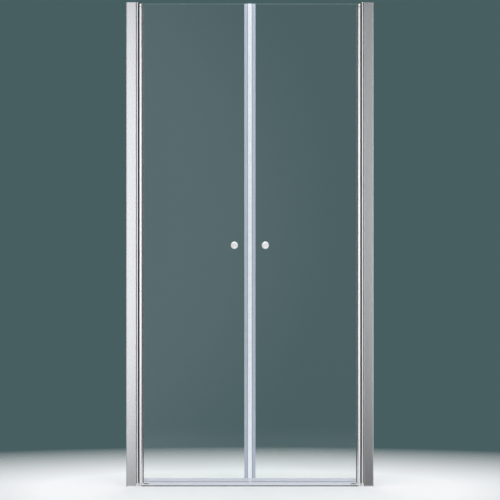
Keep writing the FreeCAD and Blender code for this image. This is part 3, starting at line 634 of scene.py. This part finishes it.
def steel(colours):
    """Plain steel."""
    return metal("steel", colours.steel, FINE, rough=(0.24, 0.36), lines=0.10)


def cap_plastic(colours):
    """Pale grey plastic."""
    return plastic("cap_plastic", colours.cap, rough=(0.24, 0.34))


def white_plastic(colours):
    """White plastic with a dull gloss."""
    return plastic("white_plastic", colours.white, rough=(0.35, 0.48))


def magnet(colours):
    """Dark magnetic rubber."""
    return plastic("magnet", colours.magnet, rough=(0.55, 0.70))


def dark_seal(colours):
    """Dark rubber."""
    return plastic("dark_seal", colours.rubber, rough=(0.50, 0.62))


def white_vinyl(colours):
    """White vinyl that lets light in a little way."""
    material = plastic("white_vinyl", colours.bulb, rough=(0.30, 0.42))
    surface = shader_of(material)
    surface.inputs["Subsurface Weight"].default_value = 0.12
    surface.inputs["Subsurface Radius"].default_value = (2 * MM, 2 * MM, 2 * MM)
    surface.inputs["Subsurface Scale"].default_value = 1.0
    return material


def translucent_seal(colours):
    """Translucent vinyl with painted shade beside the magnet bulb and along the bottom web, and painted light
    below the top of the bottom seals.
    """
    material = see_through("translucent_seal", colours.vinyl, VINYL_ROUGH, colours.vinyl_cover)
    tree = material.node_tree
    across, _, height = place_of(tree)
    shade_start, shade_end = 10.0 * MM, 13.0 * MM
    web_middle, web_start, web_end = GLASS_LOW.z - 0.4 * MM, 0.9 * MM, 1.5 * MM
    beside = falling(tree, number(tree, "ABSOLUTE", across), shade_start, shade_end)
    # Painted shade beside the magnet bulb.
    painted(material, beside, darker(colours.vinyl, share=0.84))
    # Painted light: the bottom seals take the lighter bottom tone, as if lit by the pale floor behind them.
    painted_below(material, BOTTOM_HIGH.z, colours.bottom, BLUR)
    web = falling(tree, apart_from(tree, height, web_middle), web_start, web_end)
    # Painted shade: a dark line along the web under the pane's lower edge.
    painted(material, web, darker(colours.vinyl, share=0.5))
    return material


def foot_vinyl(colours):
    """Translucent vinyl with painted shade along its lip where it comes down to the foot."""
    material = see_through("foot_vinyl", colours.bottom, VINYL_ROUGH, colours.foot_cover)
    lip = 3.2 * MM
    # Painted shade along the lip just above the foot.
    painted_below(material, PLATE_TOP + lip, colours.rubber)
    return material


def smoke_seal(colours):
    """Smoky translucent vinyl with a dark foot."""
    material = see_through("smoke_seal", colours.smoke, VINYL_ROUGH, colours.smoke_cover)
    foot = 3.0 * MM
    painted_below(material, GASKET_LOW.z + foot, colours.rubber)
    return material


def clear_plastic(colours):
    """Clear moulded plastic."""
    return see_through("clear_plastic", colours.white, (0.12, 0.20), colours.washer_cover)


def clear_glass(colours):
    """Clear toughened glass with a ground upper edge.

    It bends light, takes on its tint over a long way through and casts no shade.
    """
    material, tree, surface = new_finish("clear_glass")
    surface.inputs["Transmission Weight"].default_value = 1.0
    surface.inputs["IOR"].default_value = 1.5
    haze = grain(tree, (6.0, 6.0, 3.0), detail=1.0)
    body = blended(tree, haze, colours.glass_haze, (1.0, 1.0, 1.0))
    _, _, height = place_of(tree)
    ground, ground_rough = GLASS_HIGH.z - 2.4 * MM, 0.45
    edge = rising(tree, height, ground, ground + BLUR)
    tree.links.new(laid_over(tree, edge, body, colours.glass_edge), surface.inputs["Base Color"])
    tree.links.new(number(tree, "MULTIPLY", edge, ground_rough), surface.inputs["Roughness"])
    path = tree.nodes.new("ShaderNodeLightPath")
    clear = tree.nodes.new("ShaderNodeBsdfTransparent")
    either = tree.nodes.new("ShaderNodeMixShader")
    depth = tree.nodes.new("ShaderNodeVolumeAbsorption")
    depth.inputs["Color"].default_value = (*colours.glass, 1.0)
    depth.inputs["Density"].default_value = 9.0
    output = tree.nodes["Material Output"]
    tree.links.new(path.outputs["Is Shadow Ray"], either.inputs[0])
    tree.links.new(surface.outputs["BSDF"], either.inputs[1])
    tree.links.new(clear.outputs["BSDF"], either.inputs[2])
    tree.links.new(either.outputs["Shader"], output.inputs["Surface"])
    tree.links.new(depth.outputs["Volume"], output.inputs["Volume"])
    return material


FINISHES = {
    make.__name__: make
    for make in (
        polished_aluminium,
        threshold_aluminium,
        leaf_aluminium,
        post_aluminium,
        satin_chrome,
        knob_chrome,
        cap_chrome,
        steel,
        cap_plastic,
        white_plastic,
        magnet,
        dark_seal,
        white_vinyl,
        translucent_seal,
        foot_vinyl,
        smoke_seal,
        clear_plastic,
        clear_glass,
    )
}


def finish(name, context):
    """The finish of that name, made the first time that it is asked for."""
    return bpy.data.materials.get(f"{name}_finish") or FINISHES[name](context.scene.door_colours)


def finish_nodes(context, *kinds, finish_name=None):
    """Gives both sides' solids of these kinds a finish, or the one of their material slot."""
    for kind in kinds:
        for side, _ in SIDES:
            node = f"{kind}_{side}"
            solid = frame["nodes"][node]
            solid.data.materials.clear()
            solid.data.materials.append(finish(finish_name or NODE_SLOT[node], context))


def fit_piece(context, piece, body, node, finish_name=None):
    """Gives a piece its finish, lets it stand for a solid and move with a body."""
    piece.data.materials.append(finish(finish_name or NODE_SLOT[node], context))
    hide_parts(node)
    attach(piece, body)


class DOOR_OT_wall_channels(bpy.types.Operator):
    """Finishes the two wall channels and the caps on their tops"""

    bl_idname = "door.wall_channels"
    bl_label = "Wall channels"

    def execute(self, context):
        finish_nodes(context, "wall_profile", "wall_profile_cap", finish_name="polished_aluminium")
        return {"FINISHED"}


def post_outline(sizes):
    """Post in front of the channel: two rounded lips with the pivot's groove between them.

    The groove is an arc about the pivot axis that meets both lips.
    """
    back, lip, half = PIVOT - POST_HIGH.x, PIVOT - POST_LOW.x, POST_HIGH.y
    turn = np.arccos(-lip / sizes.groove_radius)
    angles = np.linspace(math.pi + turn, math.pi - turn, 13)
    groove = sizes.groove_radius * np.column_stack([np.cos(angles), np.sin(angles)])
    corners = [(back, -half), (lip, -half), *groove, (lip, half), (back, half)]
    edge, bend = sizes.post_edge, sizes.post_round
    inner = [edge, *[0.0] * (len(groove) - 2), edge]
    return rounded_outline(corners, [edge, bend, *inner, bend, edge])


def strip_outline(sizes):
    """Strip that stands in the groove, with a rounded bead towards the leaf."""
    corners = rectangle(-sizes.groove_radius, PIVOT - STRIP_LOW.x, sizes.strip_half)
    root, bead = sizes.joined, sizes.strip_round
    return rounded_outline(corners, [root, bead, bead, root])


class DOOR_OT_hinge_posts(bpy.types.Operator):
    """Builds the hinge posts with their gap strips, and finishes the end fittings and pins"""

    bl_idname = "door.hinge_posts"
    bl_label = "Hinge posts"

    def execute(self, context):
        sizes = context.scene.door_sizes
        post, strip = post_outline(sizes), strip_outline(sizes)
        for side, sign in SIDES:
            piece = swept_up(f"post_{side}", from_pivot(sign, post), POST_LOW.z, POST_HIGH.z)
            fit_piece(context, piece, "frame", f"hinge_post_{side}", "post_aluminium")
            bar = swept_up(f"gap_strip_{side}", from_pivot(sign, strip), STRIP_LOW.z, STRIP_HIGH.z)
            fit_piece(context, bar, "frame", f"pivot_gap_seal_{side}")
        finish_nodes(context, "post_top_cap", finish_name="cap_chrome")
        finish_nodes(context, "post_bottom_cap", finish_name="satin_chrome")
        finish_nodes(context, "pivot_pins")
        return {"FINISHED"}


def leaf_outline(sizes):
    """Leaf profile: round back about the pivot, flat sides that slope to the mouth, and the slot."""
    radius, mouth, slot = LEAF_HIGH.y, PIVOT - LEAF_LOW.x, PIVOT - GASKET_HIGH.x
    inner = [(slot, sizes.slot_half), (mouth, sizes.slot_half)]
    outer = [(mouth, sizes.mouth_half), (sizes.flat_end, radius), (-radius, radius)]
    rounds = [sizes.crisp, sizes.crisp, sizes.mouth_round, sizes.flat_round, radius]
    return mirrored_outline([*inner, *outer], rounds, steps=14)


class DOOR_OT_leaf_profiles(bpy.types.Operator):
    """Builds the leaf profiles and finishes their top caps, feet and bushes"""

    bl_idname = "door.leaf_profiles"
    bl_label = "Leaf profiles"

    def execute(self, context):
        outline = leaf_outline(context.scene.door_sizes)
        for side, sign in SIDES:
            piece = swept_up(f"knuckle_{side}", from_pivot(sign, outline), LEAF_LOW.z, LEAF_HIGH.z)
            fit_piece(context, piece, f"{side}_leaf", f"leaf_profile_{side}", "leaf_aluminium")
        finish_nodes(context, "leaf_top_cap", finish_name="leaf_aluminium")
        finish_nodes(context, "leaf_foot", finish_name="satin_chrome")
        finish_nodes(context, "pivot_bushes")
        return {"FINISHED"}


def gasket_outline(sizes):
    """Gasket: a channel round the pane's edge whose two lips taper along the glass."""
    start, end = PIVOT - GASKET_HIGH.x, PIVOT - GASKET_LOW.x
    mouth, pane = PIVOT - LEAF_LOW.x, PIVOT - GLASS_HIGH.x
    inner = [(pane, GLASS_HALF), (end, GLASS_HALF)]
    lip = [(end, GLASS_HALF + sizes.lip_tip), (mouth, GASKET_HIGH.y)]
    outer = [(mouth, sizes.slot_half), (start, sizes.slot_half)]
    crisp = [sizes.crisp, sizes.crisp]
    rounds = [*crisp, sizes.lip_tip_round, sizes.lip_root_round, *crisp]
    return mirrored_outline([*inner, *lip, *outer], rounds, steps=4)


class DOOR_OT_glass(bpy.types.Operator):
    """Finishes the panes and their rest pads, and builds the gaskets that hold them"""

    bl_idname = "door.glass"
    bl_label = "Glass and gaskets"

    def execute(self, context):
        outline = gasket_outline(context.scene.door_sizes)
        for side, sign in SIDES:
            piece = swept_up(f"gasket_{side}", from_pivot(sign, outline), GASKET_LOW.z, GASKET_HIGH.z)
            fit_piece(context, piece, f"{side}_leaf", f"glazing_gasket_{side}")
        finish_nodes(context, "glass_panel", "glass_rest_pad")
        return {"FINISHED"}


def edge_clip_outline(sizes):
    """Clip on a pane's meeting edge: two legs along the glass and the block that holds the bulb."""
    pane, reach, start = GLASS_LOW.x, EDGE_HIGH.x, sizes.bulb_start
    outer = GLASS_HALF + sizes.clip_wall
    legs = [(reach, GLASS_HALF), (pane, GLASS_HALF), (pane, -GLASS_HALF), (reach, -GLASS_HALF)]
    corners = [*legs, (reach, -outer), (start, -outer), (start, outer), (reach, outer)]
    rounds = [*[sizes.crisp] * len(legs), sizes.clip_tip, sizes.joined, sizes.joined, sizes.clip_tip]
    return rounded_outline(corners, rounds, steps=5)


def bulb_outlines(sizes):
    """Magnet bulb: its outside and, one thickness further in, the space for the magnet."""
    near, far, half, wall = EDGE_LOW.x, sizes.bulb_start, EDGE_HIGH.y, sizes.bulb_wall
    outside = rounded_outline(rectangle(near, far, half), sizes.bulb_round)
    return outside, rounded_outline(rectangle(near + wall, far - wall, half - wall), sizes.crisp)


class DOOR_OT_edge_seals(bpy.types.Operator):
    """Builds the clips and magnet bulbs on the meeting edges, and finishes the magnets"""

    bl_idname = "door.edge_seals"
    bl_label = "Edge seals"

    def execute(self, context):
        sizes = context.scene.door_sizes
        clip, bulb = edge_clip_outline(sizes), bulb_outlines(sizes)
        for side, sign in SIDES:
            leaf, node = f"{side}_leaf", f"magnet_seal_{side}"
            piece = swept_up(f"edge_clip_{side}", from_middle(sign, clip), EDGE_LOW.z, EDGE_HIGH.z)
            fit_piece(context, piece, leaf, node)
            walls = [from_middle(sign, outline) for outline in bulb]
            tube = tube_up(f"magnet_bulb_{side}", *walls, EDGE_LOW.z, EDGE_HIGH.z)
            fit_piece(context, tube, leaf, node, "white_vinyl")
        finish_nodes(context, "magnet_strip")
        return {"FINISHED"}


def bottom_clip_outline(sizes):
    """Clip under a pane: two legs along the glass and the web that joins them."""
    foot, top = GLASS_LOW.z, BOTTOM_HIGH.z
    outer, web = GLASS_HALF + sizes.clip_wall, foot - sizes.clip_wall
    legs = [(-GLASS_HALF, top), (-GLASS_HALF, foot), (GLASS_HALF, foot), (GLASS_HALF, top)]
    corners = [*legs, (outer, top), (outer, web), (-outer, web), (-outer, top)]
    tip, corner = sizes.clip_tip, sizes.clip_corner
    return rounded_outline(corners, [*[sizes.crisp] * len(legs), tip, corner, corner, tip], steps=5)


def lip_outlines(sizes):
    """What hangs from the bottom clip: the water skirt, its short end above the foot, the deflector.

    Each follows a bent path down from the web and grows thinner towards its tip.
    """
    wall = sizes.clip_wall
    web, middle = GLASS_LOW.z - wall, GLASS_HALF + wall / 2
    front, rear = (-middle, web), (middle, web)
    skirt_bend, short_bend, deflector_bend = 0.6 * web, 0.8 * web, 0.62 * web
    skirt = bent_path(front, (-middle - sizes.skirt_bow, skirt_bend), (-middle, BOTTOM_LOW.z))
    short = bent_path(front, (-middle, short_bend), (-middle, PLATE_TOP + sizes.skirt_gap))
    tip = (BOTTOM_HIGH.y - sizes.deflector_inset, sizes.deflector_low)
    deflector = bent_path(rear, (middle + sizes.deflector_bow, deflector_bend), tip)
    return (
        ribbon_outline(skirt, wall, sizes.skirt_tip),
        ribbon_outline(short, wall, sizes.skirt_tip),
        ribbon_outline(deflector, wall, sizes.deflector_tip),
    )


class DOOR_OT_bottom_seals(bpy.types.Operator):
    """Builds the clips under the panes with the water skirt and the deflector that hang from them"""

    bl_idname = "door.bottom_seals"
    bl_label = "Bottom seals"

    def execute(self, context):
        sizes = context.scene.door_sizes
        skirt, short, deflector = lip_outlines(sizes)
        near, far, lip_end = BOTTOM_LOW.x, BOTTOM_HIGH.x, FOOT_LOW.x - sizes.skirt_end
        runs = (
            ("bottom_clip", bottom_clip_outline(sizes), near, far, None),
            ("water_skirt", skirt, near, lip_end, None),
            ("short_skirt", short, lip_end, far, "foot_vinyl"),
            ("deflector", deflector, near, lip_end, None),
        )
        for side, sign in SIDES:
            for name, outline, start, end, finish_name in runs:
                piece = swept_across(f"{name}_{side}", outline, sign * start, sign * end)
                fit_piece(context, piece, f"{side}_leaf", f"bottom_seal_{side}", finish_name)
        return {"FINISHED"}


def knob_profile(sizes):
    """Half section of a knob: dished face, rounded rim, neck down to the waist, and flared base.

    Each corner is a radius, a distance from the pane's middle and a rounding.
    """
    face, foot, radius = -KNOB_LOW.y, -KNOB_HIGH.y, (KNOB_HIGH.x - KNOB_LOW.x) / 2
    dish, depth = sizes.knob_dish, sizes.dish_depth
    edge, base_edge, waist_round = 0.3 * MM, 0.6 * MM, 2.0 * MM
    section = np.array([
        (0.0, face - depth, 0.0),
        (dish - depth, face - depth, edge),
        (dish, face, edge),
        (radius, face, sizes.knob_rim),
        (radius, foot + sizes.knob_head, sizes.knob_neck),
        (sizes.knob_waist, foot + sizes.waist_high, sizes.knob_neck),
        (sizes.knob_waist, foot + sizes.waist_low, waist_round),
        (sizes.knob_base, foot + sizes.knob_flare, base_edge),
        (sizes.knob_base, foot, edge),
        (0.0, foot, 0.0),
    ])
    return rounded_outline(section[:, :2], section[:, 2], steps=12)


class DOOR_OT_knobs(bpy.types.Operator):
    """Builds the four knobs and finishes their studs, washers and sleeves"""

    bl_idname = "door.knobs"
    bl_label = "Knobs"

    def execute(self, context):
        profile = knob_profile(context.scene.door_sizes)
        for side, sign in SIDES:
            centre = (sign * KNOB_MIDDLE.x, 0.0, KNOB_MIDDLE.z)
            for place, facing in (("outer", -1.0), ("inner", 1.0)):
                knob = turned(f"knob_{place}_dressed_{side}", profile, centre, facing)
                fit_piece(context, knob, f"{side}_leaf", f"knob_{place}_{side}", "knob_chrome")
        finish_nodes(context, "knob_stud", "knob_washers", "knob_sleeve")
        return {"FINISHED"}


class DOOR_OT_screws(bpy.types.Operator):
    """Builds the covers over the locking screws inside the door, and finishes the screws"""

    bl_idname = "door.screws"
    bl_label = "Screws and covers"

    def execute(self, context):
        sizes = context.scene.door_sizes
        radius, height = (COVER_HIGH.x - COVER_LOW.x) / 2, COVER_HIGH.y - COVER_LOW.y
        corners = [(0.0, height), (radius, height - sizes.cover_crown), (radius, 0.0), (0.0, 0.0)]
        profile = rounded_outline(corners, [0.0, sizes.cover_round, sizes.crisp, 0.0])
        x, covers = (COVER_LOW.x + COVER_HIGH.x) / 2, 3
        heights = np.linspace(COVER_LOW.z + radius, COVER_HIGH.z - radius, covers)
        for side, sign in SIDES:
            for count, z in enumerate(heights, 1):
                centre = (sign * x, COVER_LOW.y, z)
                cover = turned(f"screw_cover_{side}_{count}", profile, centre, facing=1.0, steps=48)
                fit_piece(context, cover, "frame", f"screw_covers_{side}")
        finish_nodes(context, "locking_screws")
        return {"FINISHED"}


def threshold_outline(sizes):
    """Section of the threshold: upright edges and an arc over them.

    Over a half width w the arc rises by s, so its radius r is (w^2 + s^2) / 2s, and a point at depth d
    lies r - sqrt(r^2 - d^2) below its crown.
    """
    half, edge = THRESHOLD_HIGH.y, sizes.threshold_edge
    rise = THRESHOLD_HIGH.z - edge
    radius = (half**2 + rise**2) / (2 * rise)
    depth = np.linspace(half, -half, 33)
    dome = np.column_stack([depth, edge + rise - radius + np.sqrt(radius**2 - depth**2)])
    return np.concatenate([[(-half, 0.0), (half, 0.0)], dome])


class DOOR_OT_threshold(bpy.types.Operator):
    """Builds the low threshold strip between the posts"""

    bl_idname = "door.threshold"
    bl_label = "Threshold"

    def execute(self, context):
        outline = threshold_outline(context.scene.door_sizes)
        piece = swept_across("threshold_strip", outline, THRESHOLD_LOW.x, THRESHOLD_HIGH.x)
        fit_piece(context, piece, "frame", "threshold", "threshold_aluminium")
        return {"FINISHED"}


def unlit_panes():
    """The panes as a group that lamps may leave out, so that they aren't mirrored in the glass."""
    panes = bpy.data.collections.new("unlit_panes")
    for side, _ in SIDES:
        panes.objects.link(frame["nodes"][f"glass_panel_{side}"])
    for pane in panes.collection_objects:
        pane.light_linking.link_state = "EXCLUDE"
    return panes


def soft_light(name, place, size, power, left_out=None):
    """A soft light panel turned towards the door, which lights all but the group left out."""
    light = bpy.data.lights.new(name, "AREA")
    light.shape = "RECTANGLE"
    light.size, light.size_y = size
    light.energy = power
    lamp = bpy.data.objects.new(name, light)
    lamp.location = place
    door_middle = Vector((0.0, 0.0, 1.0))
    lamp.rotation_euler = (door_middle - Vector(place)).to_track_quat("-Z", "Y").to_euler()
    lamp.visible_transmission = False
    lamp.light_linking.receiver_collection = left_out
    bpy.context.scene.collection.objects.link(lamp)


def towards(tree, way, aim, rim, core):
    """How nearly the way looks along an aim: 0 beyond rim degrees and 1 within core degrees of it."""
    dot = tree.nodes.new("ShaderNodeVectorMath")
    dot.operation = "DOT_PRODUCT"
    dot.inputs[1].default_value = Vector(aim).normalized()
    tree.links.new(way, dot.inputs[0])
    limits = math.cos(math.radians(rim)), math.cos(math.radians(core))
    return rising(tree, dot.outputs["Value"], *limits, slope="SMOOTHSTEP")


def surroundings(studio):
    """Studio panels, alike before and behind the door, and a plain backdrop for what looks at it.

    Soft bright panels stand to either side of the camera, a brighter one at its left, dark cloths hang
    at the far sides and a pale one hangs above.
    """
    world = bpy.data.worlds.new("surroundings")
    world.use_nodes = True
    tree = world.node_tree
    place = tree.nodes.new("ShaderNodeTexCoord")
    parts = tree.nodes.new("ShaderNodeSeparateXYZ")
    folded = tree.nodes.new("ShaderNodeCombineXYZ")
    tree.links.new(place.outputs["Generated"], parts.inputs["Vector"])
    depth = number(tree, "ABSOLUTE", parts.outputs["Y"])
    tree.links.new(parts.outputs["X"], folded.inputs["X"])
    tree.links.new(number(tree, "MULTIPLY", depth, -1.0), folded.inputs["Y"])
    tree.links.new(parts.outputs["Z"], folded.inputs["Z"])
    way = folded.outputs["Vector"]
    low = towards(tree, way, (0, -0.3, -1), rim=73.14, core=60.0)
    tone = blended(tree, low, studio.front, studio.below)
    patches = (
        ((0, 0, -1), 73.74, 60.0, studio.floor),
        ((-1, -0.3, 0), 32.0, 24.0, studio.flag),
        ((-0.4, -1, 0), 15.0, 10.0, studio.sky),
        ((1, -0.3, 0), 32.0, 24.0, studio.flag),
        ((0.4, -1, 0), 15.0, 10.0, studio.sky),
        ((0, 0, 1), 75.52, 31.79, studio.sky),
        ((-0.19, -1, 0.03), 15.0, 8.0, studio.sky),
    )
    for aim, rim, core, patch in patches:
        tone = laid_over(tree, towards(tree, way, aim, rim, core), tone, patch)
    path = tree.nodes.new("ShaderNodeLightPath")
    seen = number(tree, "MAXIMUM", path.outputs["Is Camera Ray"], path.outputs["Is Transmission Ray"])
    tone = laid_over(tree, seen, tone, studio.backdrop)
    tree.links.new(tone, tree.nodes["Background"].inputs["Color"])
    bpy.context.scene.world = world


def round_mesh(name, radius, rings=12, steps=96):
    """A flat disc about the origin: a point turned by t on a ring r lies at (r cos t, r sin t, 0)."""
    turn = np.linspace(0.0, 2 * math.pi, steps, endpoint=False)
    reach = np.linspace(0.0, radius, rings + 1)[1:, None]
    shell = np.stack([reach * np.cos(turn), reach * np.sin(turn), 0 * reach * turn], axis=-1)
    vertices = np.concatenate([shell.reshape(-1, 3), [(0.0, 0.0, 0.0)]])
    grid = np.arange(rings * steps).reshape(rings, steps)
    hub = np.stack([np.full(steps, grid.size), grid[0], np.roll(grid[0], -1)], axis=-1)
    mesh = bpy.data.meshes.new(name)
    mesh.from_pydata(vertices.tolist(), [], hub.tolist() + rows_between(grid)[:, ::-1].tolist())
    return mesh


def floor_finish(studio):
    """Pale floor that fades into the surroundings at its rim.

    Metal shows only the parts of it right next to the door and in front of the panes.
    """
    material, tree, surface = new_finish("pale_floor")
    cloud = grain(tree, (1.5, 1.5, 1.5), detail=2.0)
    tone = blended(tree, cloud, darker(studio.floor, share=0.98), studio.floor)
    tree.links.new(tone, surface.inputs["Base Color"])
    surface.inputs["Roughness"].default_value = 0.6
    surface.inputs["Specular IOR Level"].default_value = 0.2
    across, along, _ = place_of(tree)
    radius = studio.floor_radius
    back = number(tree, "MULTIPLY", along, radius / studio.floor_behind)
    ahead = number(tree, "MULTIPLY", along, -radius / studio.floor_before)
    away = far_off(tree, across, number(tree, "MAXIMUM", back, ahead))
    fade = falling(tree, away, start=0.35 * radius, end=0.98 * radius)
    beside = rising(tree, along, start=-0.04, end=-0.02)
    front = rising(tree, along, start=-0.52, end=-0.33)
    inside = falling(tree, number(tree, "ABSOLUTE", across), start=0.40, end=0.43)
    mirrored = number(tree, "MAXIMUM", beside, number(tree, "MULTIPLY", front, inside))
    path = tree.nodes.new("ShaderNodeLightPath")
    straight = number(tree, "SUBTRACT", 1.0, path.outputs["Is Glossy Ray"])
    direct = number(tree, "MAXIMUM", straight, path.outputs["Is Transmission Ray"])
    shown = number(tree, "MAXIMUM", mirrored, direct)
    tree.links.new(number(tree, "MULTIPLY", fade, shown), surface.inputs["Alpha"])
    return material


class DOOR_OT_studio(bpy.types.Operator):
    """Sets up the floor, surroundings, lights and camera"""

    bl_idname = "door.studio"
    bl_label = "Studio"

    def execute(self, context):
        studio, scene = context.scene.door_studio, context.scene
        floor = bpy.data.objects.new("floor", round_mesh("floor", studio.floor_radius))
        floor.data.materials.append(floor_finish(studio))
        scene.collection.objects.link(floor)
        surroundings(studio)
        panes, panel = unlit_panes(), (1.0, 3.0)
        soft_light("key", (-1.8, -4.0, 1.1), panel, studio.key, panes)
        soft_light("fill", (1.8, -4.0, 1.1), panel, studio.fill, panes)
        soft_light("rear", (0.0, 3.2, 3.4), (2.2, 1.4), studio.rear, panes)
        soft_light("top", (0.0, -0.5, 3.7), (1.8, 1.4), studio.top)
        camera = bpy.data.cameras.new("camera")
        camera.sensor_width = 36.0
        camera.lens = camera.sensor_width * studio.distance / studio.view_width
        viewer = bpy.data.objects.new("camera", camera)
        viewer.location = (studio.aside, -studio.distance, studio.height)
        viewer.rotation_euler = (math.pi / 2, 0.0, 0.0)
        scene.collection.objects.link(viewer)
        scene.camera = viewer
        scene.view_settings.view_transform = "Standard"
        return {"FINISHED"}


OPERATORS = (
    DOOR_OT_wall_channels,
    DOOR_OT_hinge_posts,
    DOOR_OT_leaf_profiles,
    DOOR_OT_glass,
    DOOR_OT_edge_seals,
    DOOR_OT_bottom_seals,
    DOOR_OT_knobs,
    DOOR_OT_screws,
    DOOR_OT_threshold,
    DOOR_OT_studio,
)


class DOOR_PT_shower(bpy.types.Panel):
    """Lists the steps that build the door, and its sizes and colours"""

    bl_label = "Shower door"
    bl_space_type = "VIEW_3D"
    bl_region_type = "UI"
    bl_category = "Shower door"

    def draw(self, context):
        for operator in OPERATORS:
            self.layout.operator(operator.bl_idname)
        for group in (context.scene.door_sizes, context.scene.door_colours, context.scene.door_studio):
            column = self.layout.column(align=True)
            for name in group.__annotations__:
                column.prop(group, name)


CLASSES = (DoorSizes, DoorColours, DoorStudio, *OPERATORS, DOOR_PT_shower)


def register():
    """Adds the classes and the scene's three groups of properties."""
    for each in CLASSES:
        bpy.utils.register_class(each)
    bpy.types.Scene.door_sizes = bpy.props.PointerProperty(type=DoorSizes)
    bpy.types.Scene.door_colours = bpy.props.PointerProperty(type=DoorColours)
    bpy.types.Scene.door_studio = bpy.props.PointerProperty(type=DoorStudio)


def unregister():
    """Takes away what register adds."""
    del bpy.types.Scene.door_studio
    del bpy.types.Scene.door_colours
    del bpy.types.Scene.door_sizes
    for each in reversed(CLASSES):
        bpy.utils.unregister_class(each)


def main():
    """Builds the door and its studio."""
    register()
    bpy.ops.door.wall_channels()
    bpy.ops.door.hinge_posts()
    bpy.ops.door.leaf_profiles()
    bpy.ops.door.glass()
    bpy.ops.door.edge_seals()
    bpy.ops.door.bottom_seals()
    bpy.ops.door.knobs()
    bpy.ops.door.screws()
    bpy.ops.door.threshold()
    bpy.ops.door.studio()


if __name__ == "__main__":
    main()
